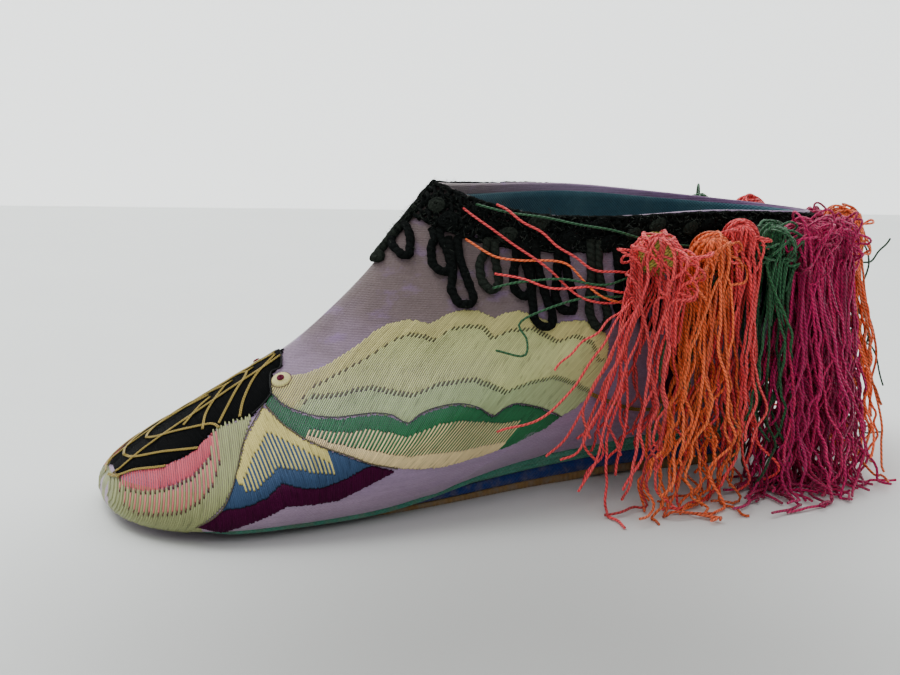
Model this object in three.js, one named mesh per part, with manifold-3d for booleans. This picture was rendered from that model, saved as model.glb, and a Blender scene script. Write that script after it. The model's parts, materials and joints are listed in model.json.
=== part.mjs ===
// A small embroidered lotus shoe: a stitched cloth sole of three layers, a silk upper with a sharp ridge
// from the toe to the top of the instep, embroidered panels, a corded collar trim and a row of silk tassels.
// Millimetres. +X points to the toe, +Y to the wearer's left, +Z up. The origin lies on the floor, under the
// middle of the sole.
import * as THREE from "three";
import { mergeVertices } from "three/addons/utils/BufferGeometryUtils.js";
import Module from "manifold-3d";

const wasm = await Module();
wasm.setup();

// Driving dimensions of the shoe
const SHOE_LENGTH = 145.6; // from the toe tip to the rim at the back of the heel
const TOE_AHEAD = 0.54 * SHOE_LENGTH; // the toe tip lies this far ahead of the origin
const BALL_WIDTH = 55.4;
const HEEL_WIDTH = 43.6;
const INSTEP_RISE = 52; // peak of the instep over the top of the sole
const HEEL_RISE = 42; // rim at the back of the heel over the top of the sole
const TOE_SAG = 2.5; // the stuffed toe hangs this far below the top of the sole
const RIM_DIP_LEFT = 4.8; // the worn rim sinks this far at each side
const RIM_DIP_RIGHT = 0.8;
const UPPER_WALL = 1.8;
const LIP_WIDTH = 3.2; // the upper's edge is turned in over the sole
const LIP_HEIGHT = 1.2;
const GAP = 0.3; // clearance between neighbouring pieces

// Driving dimensions of the sole
const SOLE_FRONT_HEIGHT = 3.6;
const SOLE_HEEL_HEIGHT = 7.3;
const SOLE_BALL_WIDTH = 40.4;
const SOLE_HEEL_WIDTH = 28.4;
const SOLE_SETBACK = 18.4; // the sole starts this far behind the toe tip
const SOLE_HEEL_SETBACK = 12.6; // and ends this far ahead of the rim
const LAYER_STEP = 2.8; // each lower layer starts this much further back
const SOLE_TOE_ROUND = 24; // length of the rounded stretch at each end
const SOLE_HEEL_ROUND = 14;
const WEDGE_INSET = 0.2; // the lower layers are cut a little smaller
const OUTSOLE_INSET = 0.5;
const OUTSOLE_SHARE = 0.26; // tops of the lower layers, as shares of the sole's thickness
const WEDGE_SHARE = 0.66;
const ARCH_LIFT = 0.5;
const TOE_SPRING = 0.8;
const INSOLE_INSET = LIP_WIDTH + GAP;

// Driving dimensions of what is sewn on
const PANEL_THICKNESS = 0.6;
const PANEL_MARGIN = 0.25; // each panel stops this far inside its outline
const EYE_RADIUS = 2.3;
const TRIM_THICKNESS = 1.7;
const TRIM_OFFSET = 2 * GAP + PANEL_THICKNESS; // the trim and the eyes lie over the panels
const TRIM_BELOW_RIM = 1;
const BAND_WIDTH = 5;
const LOOP_CORD = 1.5;
const LOOP_WIDTH = 5.2;
const SHORT_LOOP_LENGTH = 8; // short and long loops take turns
const LONG_LOOP_LENGTH = 12.5;
const LOOP_COUNT = 8;
const LOOP_LEAN = 0.55; // radians, of the first loop at the front
const TASSEL_HEAD_RADIUS = 3.3;
const TASSEL_CLEARANCE = 1; // tassel ends stop this far above the floor
const STRAND_WIDTH = 2.3;
const STRANDS = 5;

// How finely the curved pieces are divided
const STEPS_ALONG = 20;
const LEVEL_HEIGHTS = [0, 0.03, 0.08, 0.15, 0.24, 0.35, 0.47, 0.6, 0.73, 0.87, 1];
const LOOP_OUTER_SIDES = 8;
const LOOP_INNER_SIDES = 4;
const EYE_SIDES = 12;
const HEAD_SIDES = 7;
const STRAND_STEPS = 3;

// Where each change of form starts and ends. Runs behind the toe are shares of SHOE_LENGTH, taper and dip
// shares of the way from toe to heel, and low and rim heights between the bottom (0) and the rim (1).
const RUNS = {
  heelClimb: [0.31, 0.77],
  archRise: [0.58, 0.65],
  archFall: [0.69, 0.76],
  toeSpring: [0.13, 0.21],
  sag: [0.27, 0.51],
  soleTaper: [0.15, 0.6],
  taper: [0.3, 0.85],
  lowTaper: [0.2, 0.62],
  low: 0.3,
  dip: 0.25,
  rim: [0.35, 1],
};

const COLOURS = {
  lilac: 0x84788a,
  black: 0x1c1c20,
  celadon: 0x96a07f,
  cream: 0xa8a985,
  blue: 0x3f5c8c,
  green: 0x3c6547,
  teal: 0x5a9682,
  royal: 0x193c82,
  tan: 0x8c6e41,
  lining: 0x334c57,
  coral: 0xdc5a55,
  orange: 0xe6733c,
  magenta: 0x96194b,
  moss: 0x3c5f46,
  navy: 0x23285f,
};

// The last, as level curves from the bottom edge (up = 0) to the rim (up = 1). Shares of named sizes:
// front, back, toeRound and heelRound of SHOE_LENGTH, frontRise of INSTEP_RISE, backRise of HEEL_RISE,
// ball and heel of half the width there. point is the roundness of the toe end: 1 is a sharp wedge.
const LAST_COLUMNS = [
  "up", "front", "frontRise", "back", "backRise", "ball", "heel", "toeRound", "heelRound", "point",
];
const ROUNDEST_POINT = 2.3;
const LAST_LEVELS = tableOf(LAST_COLUMNS, [
  [0, 0.025, 0, 0.911, 0, 0.776, 0.638, 0.151, 0.096, ROUNDEST_POINT],
  [0.05, 0.003, 0.006, 0.918, 0.029, 0.884, 0.716, 0.165, 0.11, ROUNDEST_POINT],
  [0.12, 0, 0.031, 0.923, 0.1, 0.949, 0.798, 0.179, 0.124, ROUNDEST_POINT],
  [0.2, 0.003, 0.056, 0.929, 0.19, 0.982, 0.881, 0.199, 0.137, 2.1],
  [0.3, 0.015, 0.092, 0.935, 0.298, 1, 0.945, 0.234, 0.151, 1.85],
  [0.42, 0.058, 0.177, 0.945, 0.44, 0.996, 0.982, 0.302, 0.158, 1.7],
  [0.56, 0.152, 0.327, 0.957, 0.595, 0.975, 1, 0.371, 0.165, 1.6],
  [0.72, 0.248, 0.485, 0.971, 0.745, 0.931, 0.991, 0.364, 0.165, 1.5],
  [0.86, 0.346, 0.727, 0.986, 0.876, 0.866, 0.954, 0.316, 0.158, 1.5],
  [1, 0.437, 1, 1, 1, 0.794, 0.899, 0.261, 0.151, 1.5],
]);

// Panel outlines in the side view: shares of SHOE_LENGTH behind the toe and of INSTEP_RISE above the floor.
const PANELS = {
  toe_cap: [
    [-0.02, 0.12], [0.017, 0.155], [0.03, 0.18], [0.068, 0.215], [0.107, 0.275], [0.128, 0.31],
    [0.166, 0.36], [0.182, 0.4], [0.195, 0.415], [0.203, 0.455], [0.216, 0.475], [0.224, 0.52],
    [0.224, 0.7], [-0.02, 0.7],
  ],
  front_wing: [
    [0.166, 0.36], [0.147, 0.287], [0.13, 0.217], [0.121, 0.185], [0.108, 0.137], [0.096, 0.106],
    [0.076, 0.065], [0.05, 0.04], [-0.02, 0.04], [-0.02, 0.12], [0.017, 0.155], [0.03, 0.18],
    [0.068, 0.215], [0.107, 0.275], [0.128, 0.31],
  ],
  lower_wing: [
    [0.181, 0.371], [0.148, 0.287], [0.129, 0.215], [0.104, 0.117], [0.08, 0.069], [0.105, 0.058],
    [0.13, 0.072], [0.176, 0.123], [0.236, 0.121], [0.264, 0.152], [0.305, 0.2], [0.227, 0.279],
    [0.208, 0.298], [0.192, 0.337],
  ],
  back_wing: [
    [0.212, 0.44], [0.222, 0.456], [0.244, 0.467], [0.269, 0.494], [0.289, 0.527], [0.327, 0.596],
    [0.344, 0.621], [0.365, 0.637], [0.389, 0.625], [0.408, 0.654], [0.443, 0.673], [0.461, 0.648],
    [0.489, 0.673], [0.51, 0.64], [0.542, 0.642], [0.56, 0.642], [0.576, 0.631], [0.591, 0.592],
    [0.595, 0.513], [0.585, 0.431], [0.568, 0.367], [0.53, 0.313], [0.497, 0.354], [0.462, 0.385],
    [0.43, 0.35], [0.389, 0.394], [0.343, 0.367], [0.325, 0.342], [0.31, 0.363], [0.273, 0.362],
    [0.228, 0.356], [0.214, 0.365], [0.201, 0.379], [0.194, 0.408],
  ],
  green_wing: [
    [0.194, 0.408], [0.201, 0.379], [0.214, 0.365], [0.228, 0.356], [0.273, 0.362], [0.31, 0.363],
    [0.325, 0.342], [0.343, 0.367], [0.389, 0.394], [0.43, 0.35], [0.462, 0.385], [0.497, 0.354],
    [0.53, 0.313], [0.519, 0.296], [0.49, 0.262], [0.427, 0.212], [0.363, 0.19], [0.305, 0.212],
    [0.249, 0.26], [0.209, 0.3], [0.193, 0.331], [0.183, 0.373],
  ],
};
const WINGS = { front_wing: "celadon", lower_wing: "blue", back_wing: "cream", green_wing: "green" };
const EYE_PLACE = [0.208, 0.438];

// The tassels. along is the place on the rim, from its front (0) to its back (1), and size the share of
// TASSEL_HEAD_RADIUS. drop, splay and sweep are shares of HEEL_RISE: how far the head hangs below the rim,
// how far the ends reach outwards, and how far they are swept sideways.
const TASSEL_COLUMNS = ["side", "along", "colour", "size", "drop", "splay", "sweep"];
const TASSELS = tableOf(TASSEL_COLUMNS, [
  ["left", 0.385, "coral", 1.25, 0.14, 0.2, 0.08],
  ["left", 0.5, "orange", 1.05, 0.15, 0.17, 0.04],
  ["left", 0.592, "coral", 0.92, 0.1, 0.15, 0.02],
  ["left", 0.68, "moss", 0.92, 0.1, 0.14, 0],
  ["left", 0.77, "magenta", 1.05, 0.1, 0.14, 0],
  ["left", 0.868, "magenta", 1, 0.08, 0.2, 0],
  ["left", 0.953, "orange", 1.1, 0.05, 0.24, 0],
  ["middle", 1, "magenta", 1.1, 0.08, 0.26, 0],
  ["right", 0.953, "coral", 1.1, 0.06, 0.24, 0],
  ["right", 0.868, "moss", 1, 0.08, 0.2, 0],
  ["right", 0.77, "navy", 1.05, 0.1, 0.14, 0],
  ["right", 0.68, "magenta", 0.92, 0.1, 0.14, 0],
  ["right", 0.592, "orange", 0.92, 0.1, 0.15, 0.02],
  ["right", 0.5, "coral", 1.05, 0.15, 0.17, 0.04],
  ["right", 0.385, "moss", 1.25, 0.14, 0.2, 0.08],
]);

// Outline of a tassel's head, as shares of its radius: distance from its middle line, height.
const KNOT_OUTLINE = [[0, 1], [0.78, 0.64], [1, -0.05], [0.62, -0.85], [0, -1]];

// The way of each strand. spread and aside are shares of the head's radius, splay and sweep of the tassel's
// own, headDrop of the radius and drop of the tassel's height.
const STRAND_COLUMNS = ["spread", "aside", "splay", "sweep", "headDrop", "drop"];
const STRAND_WAY = tableOf(STRAND_COLUMNS, [
  [0.2, 0.2, 0, 0, 0.3, 0],
  [0.55, 0.55, 0.25, 0, 0, 0.4],
  [0.95, 0.72, 1, 1, 0, 1],
]);

// Tables and curves

function tableOf(columns, rows) {
  return rows.map((row) => Object.fromEntries(columns.map((name, i) => [name, row[i]])));
}

function smoothRun(value, [low, high]) {
  return THREE.MathUtils.smoothstep(value, low, high);
}

// Slope of a column at a row, from the rows beside it.
function slopeAt(rows, name, i) {
  const before = rows[Math.max(i - 1, 0)];
  const after = rows[Math.min(i + 1, rows.length - 1)];
  return (after[name] - before[name]) / (after.up - before.up);
}

// A smooth reading of one column of the last at any height.
function readLast(name, up) {
  const rows = LAST_LEVELS;
  let i = rows.findIndex((row) => row.up > up) - 1;
  if (i < 0) i = rows.length - 2;
  const [a, b] = [rows[i], rows[i + 1]];
  const span = b.up - a.up;
  const s = (up - a.up) / span;
  const bend = s * s * (3 - 2 * s);
  const startPull = s * (1 - s) ** 2 * span * slopeAt(rows, name, i);
  const endPull = s * s * (s - 1) * span * slopeAt(rows, name, i + 1);
  return a[name] + (b[name] - a[name]) * bend + startPull + endPull;
}

function soleTop(behind) {
  const climb = smoothRun(behind / SHOE_LENGTH, RUNS.heelClimb);
  return SOLE_FRONT_HEIGHT + (SOLE_HEEL_HEIGHT - SOLE_FRONT_HEIGHT) * climb;
}

// Half the width of a closed outline at a distance behind the toe: round at the heel, wedge-like at the toe.
function halfWidth(outline, behind, taper) {
  const full = outline.ball + (outline.heel - outline.ball) * taper;
  const fromToe = THREE.MathUtils.clamp((behind - outline.front) / outline.toeRound, 0, 1);
  const fromHeel = THREE.MathUtils.clamp((outline.back - behind) / outline.heelRound, 0, 1);
  const toeEnd = (1 - (1 - fromToe) ** outline.point) ** (1 / outline.point);
  return full * toeEnd * Math.sqrt(1 - (1 - fromHeel) ** 2);
}

// The outline of the last at one level, moved outwards by an offset. A leaning ridge moves further along X.
function lastOutline(up, offset) {
  const step = 0.01;
  const mostLean = 2;
  const [low, high] = [Math.max(up - step, 0), Math.min(up + step, 1)];
  const run = (readLast("front", high) - readLast("front", low)) * SHOE_LENGTH;
  const rise = (readLast("frontRise", high) - readLast("frontRise", low)) * INSTEP_RISE;
  const lean = Math.min(Math.hypot(run, rise) / rise, mostLean);
  return {
    front: readLast("front", up) * SHOE_LENGTH - offset * lean,
    back: readLast("back", up) * SHOE_LENGTH + offset,
    ball: (readLast("ball", up) * BALL_WIDTH) / 2 + offset,
    heel: (readLast("heel", up) * HEEL_WIDTH) / 2 + offset,
    toeRound: readLast("toeRound", up) * SHOE_LENGTH + offset,
    heelRound: readLast("heelRound", up) * SHOE_LENGTH + offset,
    point: readLast("point", up),
  };
}

// A point of the last: side is 1 on the left and -1 on the right, along runs from toe (0) to heel (1).
function lastPoint(side, along, up, offset = 0) {
  const outline = lastOutline(up, offset);
  const behind = outline.front + along * (outline.back - outline.front);
  const lowness = Math.max(1 - up / RUNS.low, 0);
  const taper = THREE.MathUtils.lerp(smoothRun(along, RUNS.taper), smoothRun(along, RUNS.lowTaper), lowness);
  const dent = (along / RUNS.dip) * Math.exp(1 - along / RUNS.dip) * (1 - along * along);
  const dip = (side > 0 ? RIM_DIP_LEFT : RIM_DIP_RIGHT) * dent * smoothRun(up, RUNS.rim);
  const sag = TOE_SAG * lowness * (1 - smoothRun(behind / SHOE_LENGTH, RUNS.sag));
  const frontRise = readLast("frontRise", up) * INSTEP_RISE;
  const backRise = readLast("backRise", up) * HEEL_RISE;
  const rise = frontRise * (1 - along) + backRise * along - dip - sag;
  return new THREE.Vector3(
    TOE_AHEAD - behind,
    side * halfWidth(outline, behind, taper),
    soleTop(behind) + GAP + rise,
  );
}

// Solids

function solidFrom(positions, triangles) {
  const geometry = new THREE.BufferGeometry();
  geometry.setAttribute("position", new THREE.Float32BufferAttribute(positions, 3));
  if (triangles) geometry.setIndex(triangles);
  return solidOf(geometry);
}

function solidOf(geometry) {
  const bare = geometry.clone();
  bare.deleteAttribute("normal");
  bare.deleteAttribute("uv");
  const merged = mergeVertices(bare, 1e-4);
  const index = merged.index.array;
  const triVerts = [];
  for (let i = 0; i < index.length; i += 3) {
    const [a, b, c] = [index[i], index[i + 1], index[i + 2]];
    if (a !== b && b !== c && c !== a) triVerts.push(a, b, c);
  }
  const vertProperties = new Float32Array(merged.attributes.position.array);
  const solid = makeSolid(vertProperties, triVerts);
  if (solid.volume() > 0) return solid;
  for (let i = 0; i < triVerts.length; i += 3) {
    [triVerts[i + 1], triVerts[i + 2]] = [triVerts[i + 2], triVerts[i + 1]];
  }
  return makeSolid(vertProperties, triVerts);
}

function makeSolid(vertProperties, triVerts) {
  const mesh = new wasm.Mesh({ numProp: 3, vertProperties, triVerts: new Uint32Array(triVerts) });
  return new wasm.Manifold(mesh);
}

// A closed skin through rings of equal length. Each ring runs down the left side from the toe and back up
// the right side, and the two end rings are closed by strips from side to side.
function loftRings(rings) {
  const count = rings[0].length;
  const positions = rings.flat().flatMap((point) => point.toArray());
  const triangles = [];
  for (let r = 0; r < rings.length - 1; r++) {
    for (let i = 0; i < count; i++) {
      const [a, b] = [r * count + i, r * count + ((i + 1) % count)];
      triangles.push(a, b, b + count, a, b + count, a + count);
    }
  }
  const last = (rings.length - 1) * count;
  for (let i = 0; i < count / 2; i++) {
    const [left, leftNext] = [i, i + 1];
    const [right, rightNext] = [(count - i) % count, count - i - 1];
    const strip = [left, right, rightNext, left, rightNext, leftNext];
    triangles.push(...strip, ...strip.map((corner) => last + corner).reverse());
  }
  return solidFrom(positions, triangles);
}

// Evenly turned steps from 0 to 1, closer together at both ends.
function endedSteps(count) {
  return Array.from({ length: count + 1 }, (_, i) => (1 - Math.cos((Math.PI * i) / count)) / 2);
}

// One ring of points from a function of side and share along.
function ringOf(pointAt) {
  const steps = endedSteps(STEPS_ALONG);
  const left = steps.map((along) => pointAt(1, along));
  const right = steps.slice(1, -1).reverse().map((along) => pointAt(-1, along));
  return [...left, ...right];
}

// The solid inside the last's surface, moved outwards by an offset and carried on upwards past the rim.
function lastForm(offset, pastRim = 0) {
  const rings = LEVEL_HEIGHTS.map((up) => ringOf((side, along) => lastPoint(side, along, up, offset)));
  if (pastRim) rings.push(rings.at(-1).map((point) => point.clone().setZ(point.z + pastRim)));
  return loftRings(rings);
}

// The skin between two offsets of the last, open at the collar.
function lastShell(inside, thickness) {
  return lastForm(inside + thickness).subtract(lastForm(inside, INSTEP_RISE / 2));
}

// The room for the foot: the last inside the wall, flat on the turned-in edge, and open past the rim. A
// trace of slope keeps its levels apart where they are flattened.
function footRoom() {
  const slope = 0.001;
  const rings = LEVEL_HEIGHTS.map((up) =>
    ringOf((side, along) => {
      const point = lastPoint(side, along, up, -UPPER_WALL);
      const floor = soleTop(TOE_AHEAD - point.x) + GAP + LIP_HEIGHT;
      point.z = Math.max(point.z, floor + slope * up);
      return point;
    }),
  );
  rings.push(rings.at(-1).map((point) => point.clone().setZ(point.z + INSTEP_RISE / 2)));
  return loftRings(rings);
}

// A flat outline of the sole, drawn in by an inset and started further back by a setback.
function soleOutline(inset, setback) {
  return {
    front: SOLE_SETBACK + setback + inset,
    back: SHOE_LENGTH - SOLE_HEEL_SETBACK - inset,
    ball: SOLE_BALL_WIDTH / 2 - inset,
    heel: SOLE_HEEL_WIDTH / 2 - inset,
    toeRound: SOLE_TOE_ROUND,
    heelRound: SOLE_HEEL_ROUND,
    point: ROUNDEST_POINT,
  };
}

// A slab with the outline of the sole between two heights, each a function of the distance behind the toe.
function soleSlab(outline, bottomAt, topAt) {
  const ringAt = (heightAt) =>
    ringOf((side, along) => {
      const behind = outline.front + along * (outline.back - outline.front);
      const width = halfWidth(outline, behind, smoothRun(along, RUNS.soleTaper));
      return new THREE.Vector3(TOE_AHEAD - behind, side * width, heightAt(behind));
    });
  return loftRings([ringAt(bottomAt), ringAt(topAt)]);
}

// Underside of the sole: flat at the ball and heel, lifted between them and at the toe.
function soleBottom(behind) {
  const share = behind / SHOE_LENGTH;
  const arch = smoothRun(share, RUNS.archRise) * (1 - smoothRun(share, RUNS.archFall));
  const spring = 1 - smoothRun(share, RUNS.toeSpring);
  return ARCH_LIFT * arch + TOE_SPRING * spring;
}

// Height at a share of the sole's thickness.
function soleHeight(share, shift = 0) {
  return (behind) => soleBottom(behind) + (soleTop(behind) - soleBottom(behind)) * share + shift;
}

// The same outline, drawn in by a margin all round.
function insetOutline(points, margin) {
  const centreTurn = THREE.ShapeUtils.isClockWise(points) ? -1 : 1;
  return points.map((point, i) => {
    const before = points[(i + points.length - 1) % points.length];
    const after = points[(i + 1) % points.length];
    const along = after.clone().sub(before).normalize();
    return point.clone().add(new THREE.Vector2(-along.y, along.x).multiplyScalar(centreTurn * margin));
  });
}

// A prism through a side view outline, on both sides of the shoe or on one, half a gap off its middle.
function sidePrism(outline, sides, holes = []) {
  const shape = new THREE.Shape(outline);
  shape.holes = holes.map((hole) => new THREE.Path(hole));
  const low = sides.includes(-1) ? -BALL_WIDTH : GAP / 2;
  const high = sides.includes(1) ? BALL_WIDTH : -GAP / 2;
  const geometry = new THREE.ExtrudeGeometry(shape, { depth: high - low, bevelEnabled: false });
  geometry.rotateX(Math.PI / 2);
  geometry.translate(0, high, 0);
  return solidOf(geometry);
}

function sidePoint([behind, height]) {
  return new THREE.Vector2(TOE_AHEAD - behind * SHOE_LENGTH, height * INSTEP_RISE);
}

// Pieces

const panelShell = lastShell(GAP, PANEL_THICKNESS);
const trimShell = lastShell(TRIM_OFFSET, TRIM_THICKNESS);
const eyeShell = lastShell(TRIM_OFFSET, PANEL_THICKNESS);

function outsole() {
  return soleSlab(soleOutline(OUTSOLE_INSET, 2 * LAYER_STEP), soleBottom, soleHeight(OUTSOLE_SHARE));
}

function heelWedge() {
  const bottomAt = soleHeight(OUTSOLE_SHARE, GAP);
  return soleSlab(soleOutline(WEDGE_INSET, LAYER_STEP), bottomAt, soleHeight(WEDGE_SHARE));
}

function midsole() {
  return soleSlab(soleOutline(0, 0), soleHeight(WEDGE_SHARE, GAP), soleTop);
}

function insole() {
  const bottomAt = (behind) => soleTop(behind) + GAP;
  return soleSlab(soleOutline(INSOLE_INSET, 0), bottomAt, (behind) => bottomAt(behind) + LIP_HEIGHT);
}

function upper() {
  const sunk = () => -2 * SOLE_HEEL_HEIGHT;
  const soleRoom = soleSlab(soleOutline(-GAP, 0), sunk, (behind) => soleTop(behind) + GAP);
  const overLip = (behind) => soleTop(behind) + 2 * LIP_HEIGHT;
  const bottomHole = soleSlab(soleOutline(LIP_WIDTH, 0), sunk, overLip);
  return lastForm(0).subtract(footRoom()).subtract(soleRoom).subtract(bottomHole);
}

function panel(name, side) {
  const outline = insetOutline(PANELS[name].map(sidePoint), PANEL_MARGIN);
  return panelShell.intersect(sidePrism(outline, side ? [side] : [-1, 1]));
}

function eye(side) {
  const centre = sidePoint(EYE_PLACE);
  const outline = Array.from({ length: EYE_SIDES }, (_, i) => {
    const turn = (2 * Math.PI * i) / EYE_SIDES;
    return new THREE.Vector2(Math.cos(turn), Math.sin(turn)).multiplyScalar(EYE_RADIUS).add(centre);
  });
  return eyeShell.intersect(sidePrism(outline, [side]));
}

// A piece of the side view that follows the rim between two depths below it.
function bandOutline(side, top, bottom) {
  const rim = endedSteps(STEPS_ALONG).map((along) => lastPoint(side, along, 1));
  const ahead = rim[0].clone().setX(rim[0].x + 2 * BAND_WIDTH);
  const past = rim.at(-1).clone().setX(rim.at(-1).x - 2 * BAND_WIDTH);
  const line = [ahead, ...rim, past];
  const upperEdge = line.map((point) => new THREE.Vector2(point.x, point.z - top));
  const lowerEdge = line.map((point) => new THREE.Vector2(point.x, point.z - bottom));
  return [...upperEdge, ...lowerEdge.reverse()];
}

// An upright loop of cord as a stadium outline with as many points as the curve needs.
function stadium(centre, width, length, lean, points) {
  const half = points / 2;
  return Array.from({ length: points }, (_, i) => {
    const end = i < half ? 1 : -1;
    const turn = (Math.PI * (i % half)) / (half - 1) + (i < half ? 0 : Math.PI);
    const x = (Math.cos(turn) * width) / 2;
    const z = (Math.sin(turn) * width) / 2 + (end * (length - width)) / 2;
    return new THREE.Vector2(x, z).rotateAround(new THREE.Vector2(), lean).add(centre);
  });
}

// The band round the collar with its hanging loops. Both sides are joined at the ridge and at the heel.
function collarTrim() {
  const lowest = TRIM_BELOW_RIM + BAND_WIDTH;
  const firstLoop = 0.35; // share of the space between loops
  const sides = [1, -1].map((side) => {
    let pieces = sidePrism(bandOutline(side, TRIM_BELOW_RIM, lowest), [side]);
    for (let i = 0; i < LOOP_COUNT; i++) {
      const along = (i + firstLoop) / LOOP_COUNT;
      const length = i % 2 ? LONG_LOOP_LENGTH : SHORT_LOOP_LENGTH;
      const lean = LOOP_LEAN * (1 - along) ** 2;
      const rim = lastPoint(side, along, 1);
      const centre = new THREE.Vector2(rim.x, rim.z - lowest - length / 2 + LOOP_CORD);
      centre.x += (Math.sin(lean) * length) / 2;
      const outer = stadium(centre, LOOP_WIDTH, length, lean, LOOP_OUTER_SIDES);
      const [insideWidth, insideLength] = [LOOP_WIDTH - 2 * LOOP_CORD, length - 2 * LOOP_CORD];
      const inner = stadium(centre, insideWidth, insideLength, lean, LOOP_INNER_SIDES).reverse();
      pieces = pieces.add(sidePrism(outer, [side], [inner]));
    }
    return pieces;
  });
  const bridge = sidePrism(bandOutline(-1, TRIM_BELOW_RIM, lowest), [-1, 1]);
  const nearRidge = new THREE.BoxGeometry(4 * SHOE_LENGTH, LOOP_CORD, 4 * INSTEP_RISE);
  return trimShell.intersect(sides[0].add(sides[1]).add(bridge.intersect(solidOf(nearRidge))));
}

const trimHeights = [0.7, 0.76, 0.82, 0.88, 0.94, 1];
const trimFace = [1, -1].flatMap((side) =>
  endedSteps(3 * STEPS_ALONG).flatMap((along) =>
    trimHeights.map((up) => lastPoint(side, along, up, TRIM_OFFSET + TRIM_THICKNESS)),
  ),
);

// Where a round head, brought in from outside against a direction, comes to rest on the face of the trim.
// The face is known by its points alone.
function seatedCentre(start, direction, radius) {
  const stride = 0.05;
  const centre = start.clone().addScaledVector(direction, HEEL_WIDTH / 2);
  while (trimFace.every((point) => point.distanceTo(centre) > radius + GAP)) {
    centre.addScaledVector(direction, -stride);
  }
  return centre;
}

// A tassel in its own frame: the head at the origin, X pointing away from the shoe, Z up.
function tassel(radius, height, splay, sweep) {
  const outline = KNOT_OUTLINE.map(([out, up]) => new THREE.Vector2(out, up).multiplyScalar(radius));
  const head = new THREE.LatheGeometry(outline, HEAD_SIDES);
  head.rotateX(Math.PI / 2);
  const half = STRAND_WIDTH / 2;
  const corners = [[half, 0], [0, half], [-half, 0], [0, -half]];
  const section = new THREE.Shape(corners.map(([x, y]) => new THREE.Vector2(x, y)));
  let solid = solidOf(head);
  for (let i = 0; i < STRANDS; i++) {
    const turn = (2 * Math.PI * (i + 0.5)) / STRANDS;
    const [outX, outY] = [Math.cos(turn) * radius, Math.sin(turn) * radius];
    const points = STRAND_WAY.map((row) => {
      const x = row.spread * outX + row.splay * splay;
      const y = row.aside * outY + row.sweep * sweep;
      return new THREE.Vector3(x, y, -row.headDrop * radius - row.drop * height);
    });
    const extrudePath = new THREE.CatmullRomCurve3(points);
    solid = solid.add(solidOf(new THREE.ExtrudeGeometry(section, { steps: STRAND_STEPS, extrudePath })));
  }
  return solid;
}

// Group

const shoe = new THREE.Group();

function addPiece(name, solid, colour, roughness = 0.75) {
  const { numProp, vertProperties, triVerts } = solid.getMesh();
  const geometry = new THREE.BufferGeometry();
  const interleaved = new THREE.InterleavedBuffer(vertProperties, numProp);
  geometry.setAttribute("position", new THREE.InterleavedBufferAttribute(interleaved, 3, 0));
  geometry.setIndex(Array.from(triVerts));
  geometry.computeVertexNormals();
  const material = new THREE.MeshStandardMaterial({ color: COLOURS[colour], roughness, metalness: 0 });
  const mesh = new THREE.Mesh(geometry, material);
  mesh.name = name;
  shoe.add(mesh);
  return mesh;
}

addPiece("outsole", outsole(), "tan");
addPiece("heel_wedge", heelWedge(), "royal");
addPiece("midsole", midsole(), "teal");
addPiece("insole", insole(), "lining");
addPiece("upper", upper(), "lilac", 0.6);
addPiece("toe_cap", panel("toe_cap"), "black");
addPiece("collar_trim", collarTrim(), "black");

for (const [side, sideName] of [[1, "left"], [-1, "right"]]) {
  for (const [name, colour] of Object.entries(WINGS)) {
    addPiece(`${name}_${sideName}`, panel(name, side), colour, 0.5);
  }
  addPiece(`eye_${sideName}`, eye(side), "cream", 0.5);
}

// The angle about Z at which the rim faces outwards at a share of the way to its back.
function outwardTurn(side, along) {
  const step = 0.01;
  const [here, ahead] = [lastPoint(side, along, 1), lastPoint(side, along - step, 1)];
  return Math.atan2((ahead.x - here.x) * side, (here.y - ahead.y) * side);
}

TASSELS.forEach((row, i) => {
  const side = row.side === "right" ? -1 : 1;
  const turn = row.side === "middle" ? Math.PI : outwardTurn(side, row.along);
  const rim = lastPoint(side, row.along, 1);
  const radius = TASSEL_HEAD_RADIUS * row.size;
  const headHeight = rim.z - row.drop * HEEL_RISE;
  const direction = new THREE.Vector3(Math.cos(turn), Math.sin(turn), 0);
  const splay = row.splay * HEEL_RISE;
  const sweep = side * row.sweep * HEEL_RISE;
  const solid = tassel(radius, headHeight - TASSEL_CLEARANCE, splay, sweep);
  const mesh = addPiece(`tassel_${i + 1}_${row.colour}`, solid, row.colour);
  mesh.position.copy(seatedCentre(rim.setZ(headHeight), direction, radius));
  mesh.rotation.z = turn;
});

export default shoe;
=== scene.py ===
# A small embroidered lotus shoe. Shapes are worked out in millimetres in the shoe's own frame and turned
# into metres where a mesh is made. A place on a side is given as the side view shows it: behind the toe tip
# and above the floor.
import json
import math

import bpy
import numpy as np
from mathutils import Matrix, Vector

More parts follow.
